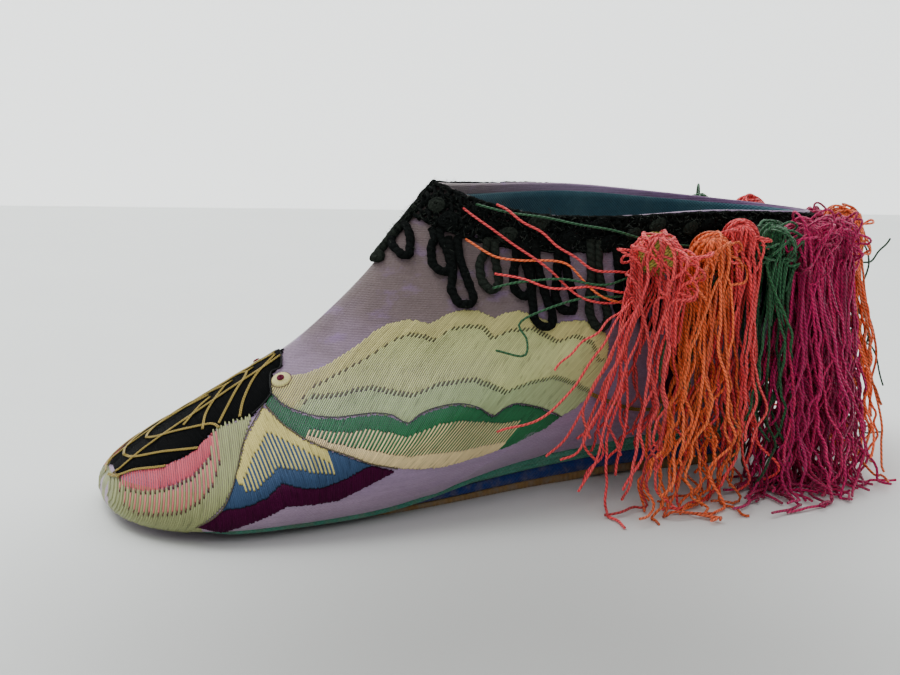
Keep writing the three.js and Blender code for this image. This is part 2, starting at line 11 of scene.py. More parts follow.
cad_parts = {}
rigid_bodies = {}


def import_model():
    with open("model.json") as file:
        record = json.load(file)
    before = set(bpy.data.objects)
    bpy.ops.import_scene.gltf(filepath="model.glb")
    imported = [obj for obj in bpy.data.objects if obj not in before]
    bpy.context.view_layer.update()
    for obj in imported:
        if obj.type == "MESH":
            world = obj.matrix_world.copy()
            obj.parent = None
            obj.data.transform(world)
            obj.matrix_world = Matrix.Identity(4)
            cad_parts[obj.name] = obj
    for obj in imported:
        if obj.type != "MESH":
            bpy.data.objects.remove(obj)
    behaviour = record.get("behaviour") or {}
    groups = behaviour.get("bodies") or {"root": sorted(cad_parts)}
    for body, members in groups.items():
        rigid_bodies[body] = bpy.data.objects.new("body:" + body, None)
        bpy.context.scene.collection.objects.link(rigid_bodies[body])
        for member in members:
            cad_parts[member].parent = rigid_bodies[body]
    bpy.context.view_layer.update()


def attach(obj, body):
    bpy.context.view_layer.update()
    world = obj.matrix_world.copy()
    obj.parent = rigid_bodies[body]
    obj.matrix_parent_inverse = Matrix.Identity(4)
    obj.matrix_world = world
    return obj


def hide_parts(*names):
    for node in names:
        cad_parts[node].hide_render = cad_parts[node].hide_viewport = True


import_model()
MM = 0.001
RANDOM = np.random.default_rng(7)

# Driving dimensions, the same as the construction's
SHOE_LENGTH = 145.6
TOE_AHEAD = 0.54 * SHOE_LENGTH
BALL_WIDTH = 55.4
HEEL_WIDTH = 43.6
INSTEP_RISE = 52
HEEL_RISE = 42
TOE_SAG = 2.5
RIM_DIP_LEFT = 4.8
RIM_DIP_RIGHT = 0.8
UPPER_WALL = 1.8
SILK_WALL = 0.9
LIP_WIDTH = 3.2
LIP_HEIGHT = 1.2
GAP = 0.3
SOLE_FRONT_HEIGHT = 3.6
SOLE_HEEL_HEIGHT = 7.3
SOLE_BALL_WIDTH = 40.4
SOLE_HEEL_WIDTH = 28.4
SOLE_SETBACK = 18.4
SOLE_HEEL_SETBACK = 12.6
LAYER_STEP = 2.8
SOLE_TOE_ROUND = 24
SOLE_HEEL_ROUND = 14
WEDGE_INSET = 0.2
OUTSOLE_INSET = 0.5
OUTSOLE_SHARE = 0.26
WEDGE_SHARE = 0.66
ARCH_LIFT = 0.5
TOE_SPRING = 0.8
ROUNDEST_POINT = 2.3
TASSEL_HEAD_RADIUS = 3.3
LOW_PART = 0.3  # the share of the height in which the sole's shape fades out
DENT_AT = 0.25  # where along the rim its dip is deepest

# Sizes of the tassel cords
CORD_RADIUS = 0.26
SPREAD_LIMIT = 45  # cord ends further out than this are drawn back
DRAWN_BACK = 0.7

# Level curves of the last from the bottom edge to the rim, as shares of named sizes
LAST_COLUMNS = (
    "up", "front", "frontRise", "back", "backRise", "ball", "heel", "toeRound", "heelRound", "point",
)
LAST_ROWS = np.array([
    (0, 0.025, 0, 0.911, 0, 0.776, 0.638, 0.151, 0.096, ROUNDEST_POINT),
    (0.05, 0.003, 0.006, 0.918, 0.029, 0.884, 0.716, 0.165, 0.11, ROUNDEST_POINT),
    (0.12, 0, 0.031, 0.923, 0.1, 0.949, 0.798, 0.179, 0.124, ROUNDEST_POINT),
    (0.2, 0.003, 0.056, 0.929, 0.19, 0.982, 0.881, 0.199, 0.137, 2.1),
    (0.3, 0.015, 0.092, 0.935, 0.298, 1, 0.945, 0.234, 0.151, 1.85),
    (0.42, 0.058, 0.177, 0.945, 0.44, 0.996, 0.982, 0.302, 0.158, 1.7),
    (0.56, 0.152, 0.327, 0.957, 0.595, 0.975, 1, 0.371, 0.165, 1.6),
    (0.72, 0.248, 0.485, 0.971, 0.745, 0.931, 0.991, 0.364, 0.165, 1.5),
    (0.86, 0.346, 0.727, 0.986, 0.876, 0.866, 0.954, 0.316, 0.158, 1.5),
    (1, 0.437, 1, 1, 1, 0.794, 0.899, 0.261, 0.151, 1.5),
], float)
LAST = {name: LAST_ROWS[:, i] for i, name in enumerate(LAST_COLUMNS)}
UPS = LAST["up"]


# Curves and surface of the last

def smooth_run(value, low, high):
    share = np.clip((value - low) / (high - low), 0, 1)
    return share * share * (3 - 2 * share)


def mixed(a, b, share):
    return a + (b - a) * share


def read_last(name, up):
    """A smooth reading of one column of the last at any height."""
    values = LAST[name]
    rows = np.arange(len(UPS))
    after, before = np.minimum(rows + 1, len(UPS) - 1), np.maximum(rows - 1, 0)
    slopes = (values[after] - values[before]) / (UPS[after] - UPS[before])
    i = np.clip(np.searchsorted(UPS, up, side="right") - 1, 0, len(UPS) - 2)
    span = UPS[i + 1] - UPS[i]
    s = (up - UPS[i]) / span
    pulls = s * (1 - s) ** 2 * slopes[i] + s * s * (s - 1) * slopes[i + 1]
    return mixed(values[i], values[i + 1], s * s * (3 - 2 * s)) + span * pulls


def sole_top(behind):
    return mixed(SOLE_FRONT_HEIGHT, SOLE_HEEL_HEIGHT, smooth_run(behind / SHOE_LENGTH, 0.31, 0.77))


def sole_bottom(behind):
    share = behind / SHOE_LENGTH
    arch = smooth_run(share, 0.58, 0.65) * (1 - smooth_run(share, 0.69, 0.76))
    return ARCH_LIFT * arch + TOE_SPRING * (1 - smooth_run(share, 0.13, 0.21))


def half_width(ball, heel, taper, from_toe, from_heel, point):
    toe_end = (1 - (1 - np.clip(from_toe, 0, 1)) ** point) ** (1 / point)
    return mixed(ball, heel, taper) * toe_end * np.sqrt(1 - (1 - np.clip(from_heel, 0, 1)) ** 2)


def last_point(side, along, up):
    """Points of the last: side is 1 or -1, along runs from toe (0) to heel (1), up from bottom to rim."""
    side, along, up = np.broadcast_arrays(np.asarray(side, float), along, up)
    front = read_last("front", up) * SHOE_LENGTH
    back = read_last("back", up) * SHOE_LENGTH
    behind = mixed(front, back, along)
    lowness = np.maximum(1 - up / LOW_PART, 0)
    taper = mixed(smooth_run(along, 0.3, 0.85), smooth_run(along, 0.2, 0.62), lowness)
    width = half_width(
        read_last("ball", up) * BALL_WIDTH / 2,
        read_last("heel", up) * HEEL_WIDTH / 2,
        taper,
        (behind - front) / (read_last("toeRound", up) * SHOE_LENGTH),
        (back - behind) / (read_last("heelRound", up) * SHOE_LENGTH),
        read_last("point", up),
    )
    dent = (along / DENT_AT) * np.exp(1 - along / DENT_AT) * (1 - along * along)
    dip = np.where(side > 0, RIM_DIP_LEFT, RIM_DIP_RIGHT) * dent * smooth_run(up, 0.35, 1)
    sag = TOE_SAG * lowness * (1 - smooth_run(behind / SHOE_LENGTH, 0.27, 0.51))
    front_rise = read_last("frontRise", up) * INSTEP_RISE
    rise = mixed(front_rise, read_last("backRise", up) * HEEL_RISE, along) - dip - sag
    return np.stack([TOE_AHEAD - behind, side * width, sole_top(behind) + GAP + rise], -1)


def unit(vectors):
    return vectors / np.maximum(np.linalg.norm(vectors, axis=-1, keepdims=True), 1e-9)


def last_normal(side, along, up):
    """Outward directions. On the ridge and at the heel they lie in the middle plane."""
    turn = np.arccos(1 - 2 * np.clip(along, 0.0004, 0.9996)) / math.pi
    step = 0.004
    turned = lambda t: (1 - np.cos(math.pi * t)) / 2
    by_turn = last_point(side, turned(turn + step), up) - last_point(side, turned(turn - step), up)
    high, low = np.minimum(up + step, 1), np.maximum(up - step, 0)
    by_up = last_point(side, along, high) - last_point(side, along, low)
    normal = np.cross(by_up, by_turn) * np.asarray(side, float)[..., None] * -1
    edge = np.minimum(along, 1 - along)
    normal[..., 1] *= smooth_run(edge, 0, 0.0006)
    return unit(normal)


def find_place(side, behind, height):
    """The along and up of the places that the side view shows at these distances and heights."""
    side, behind, height = np.broadcast_arrays(np.asarray(side, float), behind, height)
    low, high = np.zeros(behind.shape), np.ones(behind.shape)
    for _ in range(26):
        middle = (low + high) / 2
        point = last_point(side, along_at(behind, middle), middle)
        above = point[..., 2] > height
        low, high = np.where(above, low, middle), np.where(above, middle, high)
    up = (low + high) / 2
    return along_at(behind, up), up


def along_at(behind, up):
    front = read_last("front", up) * SHOE_LENGTH
    back = read_last("back", up) * SHOE_LENGTH
    return np.clip((behind - front) / (back - front), 0, 1)


def side_surface(side, behind, height):
    """Points and outward directions at places given as the side view shows them."""
    side, behind, height = np.broadcast_arrays(np.asarray(side, float), behind, height)
    along, up = find_place(side, behind, height)
    return last_point(side, along, up), last_normal(side, along, up)


def ridge_line(first, last, count=14):
    """The ridge as side view points between two distances behind the toe."""
    ups = np.linspace(0.12, 1, 400)
    behind = read_last("front", ups) * SHOE_LENGTH
    height = sole_top(behind) + GAP + read_last("frontRise", ups) * INSTEP_RISE
    at = np.linspace(first, last, count)
    return [(float(b), float(h)) for b, h in zip(at, np.interp(at, behind, height))]


# Meshes

ODD_WAY = (0.31, 0.52, 0.79)  # a direction that no cord starts in


def mesh_piece(name, points, quads, material, stands_for=(), uv=None, tint=None, caps=()):
    """A piece from points in millimetres, with uv and tint for each point. Caps are faces of any size."""
    points = np.asarray(points, float).reshape(-1, 3) * MM
    faces = [tuple(face) for face in np.asarray(quads, int).reshape(-1, 4).tolist()]
    faces += [tuple(face) for face in caps]
    mesh = bpy.data.meshes.new(name)
    mesh.from_pydata(points.tolist(), [], faces)
    mesh.polygons.foreach_set("use_smooth", [True] * len(mesh.polygons))
    corners = np.zeros(len(mesh.loops), int)
    mesh.loops.foreach_get("vertex_index", corners)
    if uv is not None:
        layer = mesh.uv_layers.new(name="UVMap")
        layer.data.foreach_set("uv", np.asarray(uv, float).reshape(-1, 2)[corners].ravel())
    if tint is not None:
        colours = np.ones((len(points), 4))
        colours[:, :3] = np.asarray(tint, float).reshape(-1, 3)
        layer = mesh.color_attributes.new("tint", "FLOAT_COLOR", "POINT")
        layer.data.foreach_set("color", colours.ravel())
    mesh.materials.append(material)
    piece = bpy.data.objects.new(name, mesh)
    bpy.context.scene.collection.objects.link(piece)
    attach(piece, "root")
    if stands_for:
        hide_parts(*stands_for)
    return piece


def unrolled(sides, along):
    """Places round the shoe as one number, 0 to 1 down the left side and 1 to 2 back up the right."""
    return np.where(sides > 0, along, 2 - along)


def rolled(turn):
    return np.where(turn <= 1, 1.0, -1.0), np.where(turn <= 1, turn, 2 - turn)


def grid_quads(rows, columns, wrap_rows=False, wrap_columns=False):
    """Faces of a grid of points, row after row."""
    r = np.arange(rows if wrap_rows else rows - 1)
    c = np.arange(columns if wrap_columns else columns - 1)
    r, c = np.meshgrid(r, c, indexing="ij")
    nr, nc = (r + 1) % rows, (c + 1) % columns
    quads = np.stack([r * columns + c, r * columns + nc, nr * columns + nc, nr * columns + c], -1)
    return quads.reshape(-1, 4)


def ring_steps(count):
    """Sides and shares along for a ring that runs down the left side and back up the right."""
    along = (1 - np.cos(np.linspace(0, math.pi, count + 1))) / 2
    sides = np.concatenate([np.ones(count + 1), -np.ones(count - 1)])
    return sides, np.concatenate([along, along[1:-1][::-1]])


def cap_quads(count, start, flip):
    """Faces that close a ring of points from side to side."""
    half = count // 2
    left = np.arange(half)
    quads = np.stack([left, (count - left) % count, count - left - 1, left + 1], -1) + start
    return quads[:, ::-1] if flip else quads


class Tubes:
    """Round cords joined in one mesh. Each batch holds paths with the same number of points."""

    def __init__(self):
        self.points, self.quads, self.uv, self.tint, self.caps, self.count = [], [], [], [], [], 0

    def add(self, paths, radius, tint, sides=6):
        paths = np.asarray(paths, float)
        if paths.ndim == 2:
            paths = paths[None]
        cords, steps = paths.shape[:2]
        tangents = unit(np.gradient(paths, axis=1))
        across = np.zeros_like(paths)
        across[:, 0] = unit(np.cross(tangents[:, 0], ODD_WAY))
        for i in range(1, steps):
            before = across[:, i - 1]
            slant = np.sum(before * tangents[:, i], -1)[:, None]
            across[:, i] = unit(before - tangents[:, i] * slant)
        other = np.cross(tangents, across)
        turn = np.linspace(0, 2 * math.pi, sides + 1)
        ring = across[:, :, None] * np.cos(turn)[None, None, :, None]
        ring = ring + other[:, :, None] * np.sin(turn)[None, None, :, None]
        radius = np.broadcast_to(np.atleast_2d(np.asarray(radius, float)), (cords, steps))
        points = paths[:, :, None] + ring * radius[:, :, None, None]
        lengths = np.zeros((cords, steps))
        lengths[:, 1:] = np.cumsum(np.linalg.norm(np.diff(paths, axis=1), axis=-1), axis=1)
        uv = np.zeros((cords, steps, sides + 1, 2))
        uv[..., 0] = lengths[:, :, None]
        uv[..., 1] = np.linspace(0, 1, sides + 1)[None, None]
        tint = np.broadcast_to(np.asarray(tint, float).reshape(-1, 1, 1, 3), points.shape)
        each = steps * (sides + 1)
        starts = self.count + np.arange(cords) * each
        quads = grid_quads(steps, sides + 1)[None] + starts[:, None, None]
        self.points.append(points.reshape(-1, 3))
        self.uv.append(uv.reshape(-1, 2))
        self.tint.append(tint.reshape(-1, 3))
        self.quads.append(quads.reshape(-1, 4))
        for start in starts.tolist():
            last = start + each - sides - 1
            self.caps.append([start + i for i in range(sides)])
            self.caps.append([last + i for i in range(sides)][::-1])
        self.count += cords * each

    def piece(self, name, material, slot, stands_for=()):
        return mesh_piece(
            name, np.concatenate(self.points), np.concatenate(self.quads), material, stands_for,
            uv=np.concatenate(self.uv), tint=np.concatenate(self.tint), caps=self.caps,
        )


def curve_through(points, count):
    """A smooth path through given points, with evenly spaced steps."""
    points = np.asarray(points, float)
    padded = np.vstack([2 * points[0] - points[1], points, 2 * points[-1] - points[-2]])
    fine = []
    for i in range(len(points) - 1):
        a, b, c, d = padded[i:i + 4]
        t = np.linspace(0, 1, 24, endpoint=i == len(points) - 2)[:, None]
        bend = (2 * a - 5 * b + 4 * c - d) * t ** 2 + (3 * b - a - 3 * c + d) * t ** 3
        fine.append(0.5 * (2 * b + (c - a) * t + bend))
    fine = np.vstack(fine)
    lengths = np.concatenate([[0], np.cumsum(np.linalg.norm(np.diff(fine, axis=0), axis=1))])
    at = np.linspace(0, lengths[-1], count)
    return np.stack([np.interp(at, lengths, fine[:, k]) for k in range(fine.shape[1])], -1)


def srgb(red, green, blue):
    """A colour as a picture shows it, from 0 to 255, turned into light."""
    value = np.array([red, green, blue]) / 255
    return tuple(np.where(value <= 0.04045, value / 12.92, ((value + 0.055) / 1.055) ** 2.4))


# Materials

class Graph:
    """The nodes of one material."""

    def __init__(self, name, roughness, **shader):
        self.material = bpy.data.materials.new(name)
        self.material.use_nodes = True
        self.tree = self.material.node_tree
        self.shader = self.tree.nodes["Principled BSDF"]
        self.shader.inputs["Roughness"].default_value = roughness
        self.shader.inputs["Specular IOR Level"].default_value = 0.25
        for key, value in shader.items():
            self.shader.inputs[key.replace("_", " ")].default_value = value

    def feed(self, socket, value):
        if isinstance(value, bpy.types.NodeSocket):
            self.tree.links.new(value, socket)
        else:
            socket.default_value = value

    def add(self, kind, inputs, **settings):
        node = self.tree.nodes.new("ShaderNode" + kind)
        for key, value in settings.items():
            setattr(node, key, value)
        for key, value in inputs.items():
            self.feed(node.inputs[key], value)
        return node

    def place(self, scale=(1, 1, 1)):
        """Object coordinates in millimetres, stretched by a scale."""
        coordinates = self.add("TexCoord", {}).outputs["Object"]
        return self.add("Mapping", {"Vector": coordinates, "Scale": [s / MM for s in scale]}).outputs[0]

    def uv(self):
        return self.add("SeparateXYZ", {0: self.add("TexCoord", {}).outputs["UV"]}).outputs

    def axes(self):
        return self.add("SeparateXYZ", {0: self.place()}).outputs

    def joined(self, x, y):
        return self.add("CombineXYZ", {0: x, 1: y}).outputs[0]

    def noise(self, scale, detail=3.0, roughness=0.55, vector=None):
        inputs = {"Vector": vector or self.place(), "Scale": scale, "Detail": detail, "Roughness": roughness}
        return self.add("TexNoise", inputs).outputs["Fac"]

    def maths(self, operation, *values):
        return self.add("Math", dict(enumerate(values)), operation=operation).outputs[0]

    def times(self, a, b):
        return self.maths("MULTIPLY", a, b)

    def plus(self, a, b):
        return self.maths("ADD", a, b)

    def run(self, value, low, high, first=0.0, last=1.0):
        inputs = {"Value": value, "From Min": low, "From Max": high, "To Min": first, "To Max": last}
        return self.add("MapRange", inputs, interpolation_type="SMOOTHSTEP").outputs[0]

    def mix(self, share, a, b, blend="MIX"):
        a, b = [value if isinstance(value, bpy.types.NodeSocket) else (*value, 1) for value in (a, b)]
        return self.add("Mix", {0: share, 6: a, 7: b}, data_type="RGBA", blend_type=blend).outputs[2]

    def shade(self, colour, low, high, amount):
        """A colour that goes from darker to lighter with an amount from 0 to 1."""
        grey = self.run(amount, 0, 1, low, high)
        level = self.add("CombineColor", {0: grey, 1: grey, 2: grey}).outputs[0]
        return self.mix(1.0, colour, level, "MULTIPLY")

    def tint(self):
        return self.add("VertexColor", {}, layer_name="tint").outputs["Color"]

    def weave(self, threads, first="X", second="Z"):
        """Crossing threads: how many to a millimetre, along two of the shoe's axes."""
        parts = self.axes()
        turns = [self.times(parts[axis], threads * 2 * math.pi) for axis in (first, second)]
        return self.times(*[self.maths("SINE", turn) for turn in turns])

    def finish(self, colour, height=None, depth=0.1, strength=0.6):
        self.feed(self.shader.inputs["Base Color"], colour)
        if height is not None:
            inputs = {"Height": height, "Strength": strength, "Distance": depth * MM}
            self.feed(self.shader.inputs["Normal"], self.add("Bump", inputs).outputs[0])
        return self.material


def lilac_silk():
    """Thin ribbed silk, faded along the ridge, deeper in colour at the heel and dusty low down."""
    g = Graph("lilac_silk", 0.55, Sheen_Weight=0.25, Sheen_Roughness=0.4)
    parts = g.axes()
    ahead, level = parts["X"], parts["Z"]
    cloudy = g.noise(0.16, 5, vector=g.place((1, 1, 1.6)))
    streaks = g.noise(0.5, 4, vector=g.place((0.22, 1, 2.6)))
    grain = g.noise(2.4, 3, 0.7, g.place((0.6, 1, 1.6)))
    uneven = g.times(g.maths("SUBTRACT", g.noise(0.045, 4), 0.5), 1.2)
    fade = g.run(g.plus(g.run(level, 16, 38), uneven), 0.1, 0.9)
    colour = g.mix(g.times(fade, g.run(ahead, -36, 12)), LILAC, LILAC_FADED)
    colour = g.mix(g.run(ahead, -20, -62), colour, LILAC_HEEL)
    colour = g.mix(g.run(cloudy, 0.52, 0.72, 0, 0.6), colour, LILAC_FLUSH)
    colour = g.mix(g.times(g.run(level, 12, 3), 0.55), colour, LILAC_DUSTY)
    colour = g.shade(colour, 0.82, 1.12, streaks)
    colour = g.shade(colour, 0.74, 1.16, grain)
    ribs = g.maths("SINE", g.times(level, 2 * math.pi * 2.6))
    height = g.plus(g.times(ribs, 0.4), g.noise(4.5, 3, vector=g.place((0.35, 1, 1.6))))
    return g.finish(colour, g.plus(height, g.times(g.weave(1.7), 0.35)), 0.09, 0.55)


def floss(name, roughness=0.5, **shader):
    """Laid silk threads, each with its own tint, with fibres and darker streaks along them."""
    g = Graph(name, roughness, **shader)
    along, across = g.uv()[:2]
    fibres = g.noise(1.0, 2, vector=g.joined(g.times(along, 1.4), g.times(across, 9)))
    streaks = g.noise(1.0, 1, vector=g.joined(g.times(along, 0.3), across))
    colour = g.shade(g.tint(), 0.82, 1.16, g.noise(0.12, 4))
    colour = g.shade(colour, 0.84, 1.1, fibres)
    colour = g.shade(colour, 1, 0.62, g.run(streaks, 0.58, 0.7))
    colour = g.shade(colour, 0.9, 1.1, g.run(g.axes()["X"], 10, 44))
    return g.finish(colour, fibres, 0.05, 0.5)


def twisted(name, turns, plies, roughness=0.55, low=0.5, high=1.12, depth=0.09, hairy=0.0, **shader):
    """A twisted cord: its plies wind round as the cord runs on, with painted shade in the grooves between
    them.
    """
    g = Graph(name, roughness, **shader)
    along, around = g.uv()[:2]
    wound = g.plus(g.times(along, turns), g.times(around, plies))
    ply = g.maths("ABSOLUTE", g.maths("SINE", g.times(wound, math.pi)))
    fibres = g.noise(3.5, 4, 0.7)
    # painted shade: the colour goes darker in the grooves between the plies
    colour = g.shade(g.tint(), low, high, ply)
    colour = g.shade(colour, 0.84, 1.12, g.noise(0.5))
    colour = g.shade(colour, 1 - hairy * 0.5, 1 + hairy, fibres)
    return g.finish(colour, g.plus(ply, g.times(fibres, 0.4 + 3 * hairy)), depth, 0.8)


def woven(name, base, worn, threads, dust=0.0, axes=("X", "Z")):
    """Plain woven cloth, a little uneven and dusty."""
    g = Graph(name, 0.85, Sheen_Weight=0.15)
    colour = g.mix(g.run(g.noise(0.12, 5), 0.35, 0.75), base, worn)
    colour = g.shade(colour, 0.82, 1.1, g.noise(1.3))
    cloth = g.weave(threads, *axes)
    colour = g.shade(colour, 0.88, 1.08, g.run(cloth, -1, 1))
    if dust:
        spots = g.run(g.noise(0.5, 5), 0.4, 0.7)
        low_down = g.run(g.axes()["Z"], 6, 0)
        colour = g.mix(g.times(g.times(low_down, dust), spots), colour, DUST)
    return g.finish(colour, g.plus(cloth, g.noise(3)), 0.12, 0.5)


LILAC = srgb(160, 136, 168)
LILAC_FADED = srgb(110, 94, 94)
LILAC_HEEL = srgb(112, 80, 120)
LILAC_FLUSH = srgb(140, 112, 158)
LILAC_DUSTY = srgb(172, 148, 166)
DUST = srgb(130, 120, 104)
BLACK = srgb(6, 7, 8)
CORD_BLACK = srgb(15, 18, 17)
# worn greenish grey, lighter also as a painted highlight on some loops and coils
CORD_WORN_HIGHLIT = srgb(34, 39, 34)
GOLD = srgb(158, 136, 64)
CREAM = srgb(214, 206, 138)
CREAM_WARM = srgb(196, 184, 114)
WING = srgb(204, 208, 144)
WING_LOW = srgb(178, 194, 142)
CELADON = srgb(146, 150, 104)
PINK = srgb(196, 76, 92)
PINK_PALE = srgb(198, 108, 106)
BLUE = srgb(52, 74, 104)
MAGENTA_DARK = srgb(60, 0, 42)
GREEN = srgb(32, 108, 66)
TAN = srgb(226, 204, 152)
CORAL = srgb(234, 72, 76)
ORANGE = srgb(240, 108, 58)
MAGENTA = srgb(178, 14, 84)
MOSS = srgb(40, 92, 56)
NAVY = srgb(28, 36, 110)
CORE = srgb(170, 158, 70)
SILKS = {"coral": CORAL, "orange": ORANGE, "magenta": MAGENTA, "moss": MOSS, "navy": NAVY}


# The upper

def creases(side, behind, height):
    """Soft folds, as heights in millimetres above the smooth skin."""
    folds = (
        # side, behind, height, lean, length, width, depth
        (1, 88, 22, 0.25, 16, 1.8, -0.55), (1, 92, 24, 0.1, 18, 2.2, 0.45),
        (1, 98, 20, -0.1, 16, 1.6, -0.5), (1, 112, 18, 0.15, 14, 2.2, -0.4),
        (1, 124, 22, -0.1, 14, 2.0, -0.4), (1, 40, 30, 0.9, 10, 2.4, -0.3),
        (1, 62, 8, 1.5, 18, 1.6, 0.3), (1, 84, 10, 1.2, 12, 1.5, -0.35),
        (1, 52, 42, 0.5, 12, 2.2, 0.25), (-1, 86, 22, 0.2, 16, 2.0, -0.5),
        (-1, 96, 22, -0.1, 18, 2.4, 0.4), (-1, 104, 20, 0.1, 14, 1.8, -0.5),
        (-1, 120, 22, -0.2, 14, 2.2, -0.4), (-1, 46, 34, 0.8, 12, 2.4, -0.3),
        (-1, 66, 9, 1.4, 16, 1.8, 0.3),
    )
    total = np.zeros(np.shape(behind))
    for at_side, at, level, lean, length, width, depth in folds:
        run = height - level
        off = (behind - at - lean * run) / width
        total += (side == at_side) * depth * np.exp(-off ** 2 - (run / length * 1.6) ** 2)
    return total


def upper_ring(sides, along, up, offset, lowest=None, folded=True):
    point = last_point(sides, along, up)
    if folded:
        offset = offset + creases(sides, TOE_AHEAD - point[..., 0], point[..., 2])
    point = point + last_normal(sides, along, up) * np.broadcast_to(offset, along.shape)[:, None]
    point[:, 1] = np.where(sides > 0, np.maximum(point[:, 1], 0), np.minimum(point[:, 1], 0))
    if lowest is not None:
        point[:, 2] = np.maximum(point[:, 2], sole_top(TOE_AHEAD - point[:, 0]) + GAP + lowest)
    return point


def sole_ring(sides, along, inset, setback, height_at, squeeze=0.0):
    """A ring of the sole's outline, drawn in by an inset, at heights from a function of the distance."""
    front = SOLE_SETBACK + setback + inset + squeeze
    back = SHOE_LENGTH - SOLE_HEEL_SETBACK - inset - squeeze
    behind = mixed(front, back, along)
    width = half_width(
        SOLE_BALL_WIDTH / 2 - inset - squeeze,
        SOLE_HEEL_WIDTH / 2 - inset - squeeze,
        smooth_run(along, 0.15, 0.6),
        (behind - front) / SOLE_TOE_ROUND,
        (back - behind) / SOLE_HEEL_ROUND,
        ROUNDEST_POINT,
    )
    return np.stack([TOE_AHEAD - behind, sides * width, height_at(behind)], -1)


def closed_shell(name, rings, material, stands_for):
    rings = np.array(rings)
    quads = grid_quads(len(rings), rings.shape[1], wrap_rows=True, wrap_columns=True)[:, ::-1]
    return mesh_piece(name, rings, quads, material, stands_for)


def make_upper():
    """The silk and its lining, as closed shells. Each runs from the hole in its bottom up the outside, over
    the rim and down the inside."""
    steps, levels = 150, 84
    top_of_lining = 0.985
    sides, along = ring_steps(steps)

    def skin(ups, offset, lowest=None, folded=True):
        heights = [np.full(along.shape, float(up)) for up in ups]
        return [upper_ring(sides, along, height, offset, lowest, folded) for height in heights]

    def hole(lift):
        return sole_ring(sides, along, LIP_WIDTH, 0, lambda behind: sole_top(behind) + GAP + lift)

    edge = skin([0], 0)[0]
    under = []
    for share in (0.25, 0.5, 0.75):
        under.append(mixed(hole(0), edge, share) - [0, 0, 0.5 * math.sin(math.pi * share)])
    outside = skin(np.linspace(0, 1, levels), 0)
    inner_rim = skin([1], -SILK_WALL)[0]
    lifts = ((0.15, 0.25), (0.5, 0.36), (0.85, 0.25))
    over = [mixed(outside[-1], inner_rim, share) + [0, 0, lift] for share, lift in lifts]
    inside = skin(np.linspace(1, 0, levels // 2), -SILK_WALL, 0.55)
    rings = [hole(0), *under, *outside, *over, *inside, hole(0.55)]
    closed_shell("upper_silk", rings, lilac_silk(), ["upper"])

    outside = skin(np.linspace(0, top_of_lining, 30), -SILK_WALL - 0.05, 0.6)
    inside = skin(np.linspace(0, top_of_lining, 60)[::-1], -UPPER_WALL, LIP_HEIGHT, folded=False)
    cloth = woven("lining_cloth", srgb(44, 82, 96), srgb(62, 98, 108), 1.6)
    rings = [hole(0.6), *outside, *inside, hole(LIP_HEIGHT)]
    closed_shell("upper_lining", rings, cloth, [])
    return cloth


# The sole

def make_slab(name, inset, setback, bottom_at, top_at, round_edge, material, node):
    sides, along = ring_steps(120)
    rings = []
    for turn in np.linspace(-math.pi / 2, math.pi / 2, 9):
        squeeze = round_edge * (1 - math.cos(turn))
        share = (1 + math.sin(turn)) / 2
        height_at = lambda behind, share=share: mixed(bottom_at(behind), top_at(behind), share)
        rings.append(sole_ring(sides, along, inset, setback, height_at, squeeze))
    rings = np.array(rings)
    count = rings.shape[1]
    quads = np.concatenate([
        grid_quads(len(rings), count, wrap_columns=True)[:, ::-1],
        cap_quads(count, 0, False), cap_quads(count, (len(rings) - 1) * count, True),
    ])
    return mesh_piece(name, rings, quads, material, [node])


def make_binding(material):
    """The teal edge binding where the upper meets the sole."""
    binding = Tubes()
    sides, along = ring_steps(240)
    kept = along > 0.075
    order = np.argsort(unrolled(sides, along)[kept])
    sides, along = sides[kept][order], along[kept][order]
    low = last_point(sides, along, np.full(along.shape, 0.012))
    out = last_normal(sides, along, np.full(along.shape, 0.05))
    thick = 0.5 + 0.25 * smooth_run(along, 0.1, 0.6)
    thick *= smooth_run(along, 0.07, 0.12)
    path = low + out * 0.3
    path[:, 2] = np.maximum(path[:, 2], thick + 0.05)
    binding.add(path, np.maximum(thick, 0.08), (1, 1, 1), 8)
    binding.piece("edge_binding", material, "teal_cloth")


def layer_height(share, shift=0.0):
    return lambda behind: mixed(sole_bottom(behind), sole_top(behind), share) + shift


def make_sole(lining):
    teal = woven("teal_cloth", srgb(70, 140, 118), srgb(92, 158, 134), 1.3, 0.4)
    blue = woven("blue_cloth", srgb(22, 52, 118), srgb(38, 66, 128), 1.3, 0.6)
    tan = woven("tan_cloth", srgb(142, 114, 70), srgb(120, 96, 62), 1.0, 0.8, axes=("X", "Y"))
    split = GAP * 0.2
    make_slab("outsole_cloth", OUTSOLE_INSET, 2 * LAYER_STEP, sole_bottom, layer_height(OUTSOLE_SHARE),
              0.35, tan, "outsole")
    make_slab("wedge_cloth", WEDGE_INSET, LAYER_STEP, layer_height(OUTSOLE_SHARE, split),
              layer_height(WEDGE_SHARE), 0.4, blue, "heel_wedge")
    make_binding(teal)
    make_slab("midsole_cloth", 0, 0, layer_height(WEDGE_SHARE, split), sole_top,
              0.5, teal, "midsole")
    make_slab("insole_cloth", LIP_WIDTH + GAP, 0, layer_height(1, GAP), layer_height(1, GAP + LIP_HEIGHT),
              0.3, lining, "insole")


# Embroidery

END_SCATTER = 0.12
CUT_SCATTER = 0.1
SHORTEST_STITCH = 0.25
TUCK = 0.3  # how far a thread runs under the end of the one above it
# painted shade: the tint of the dark thread laid in each slit
SLIT_PAINTED_SHADE = 0.2
THREAD_STEP = 1.5
THREAD_PROFILE = ((-0.5, -0.09), (-0.27, -0.015), (0, 0), (0.27, -0.015), (0.5, -0.09))
# painted shade: across each thread the tint is darker at the edges than on the crown
PAINTED_PROFILE_SHADE = (0.9, 1, 1.03, 1, 0.9)
LINE_STEP = 0.5


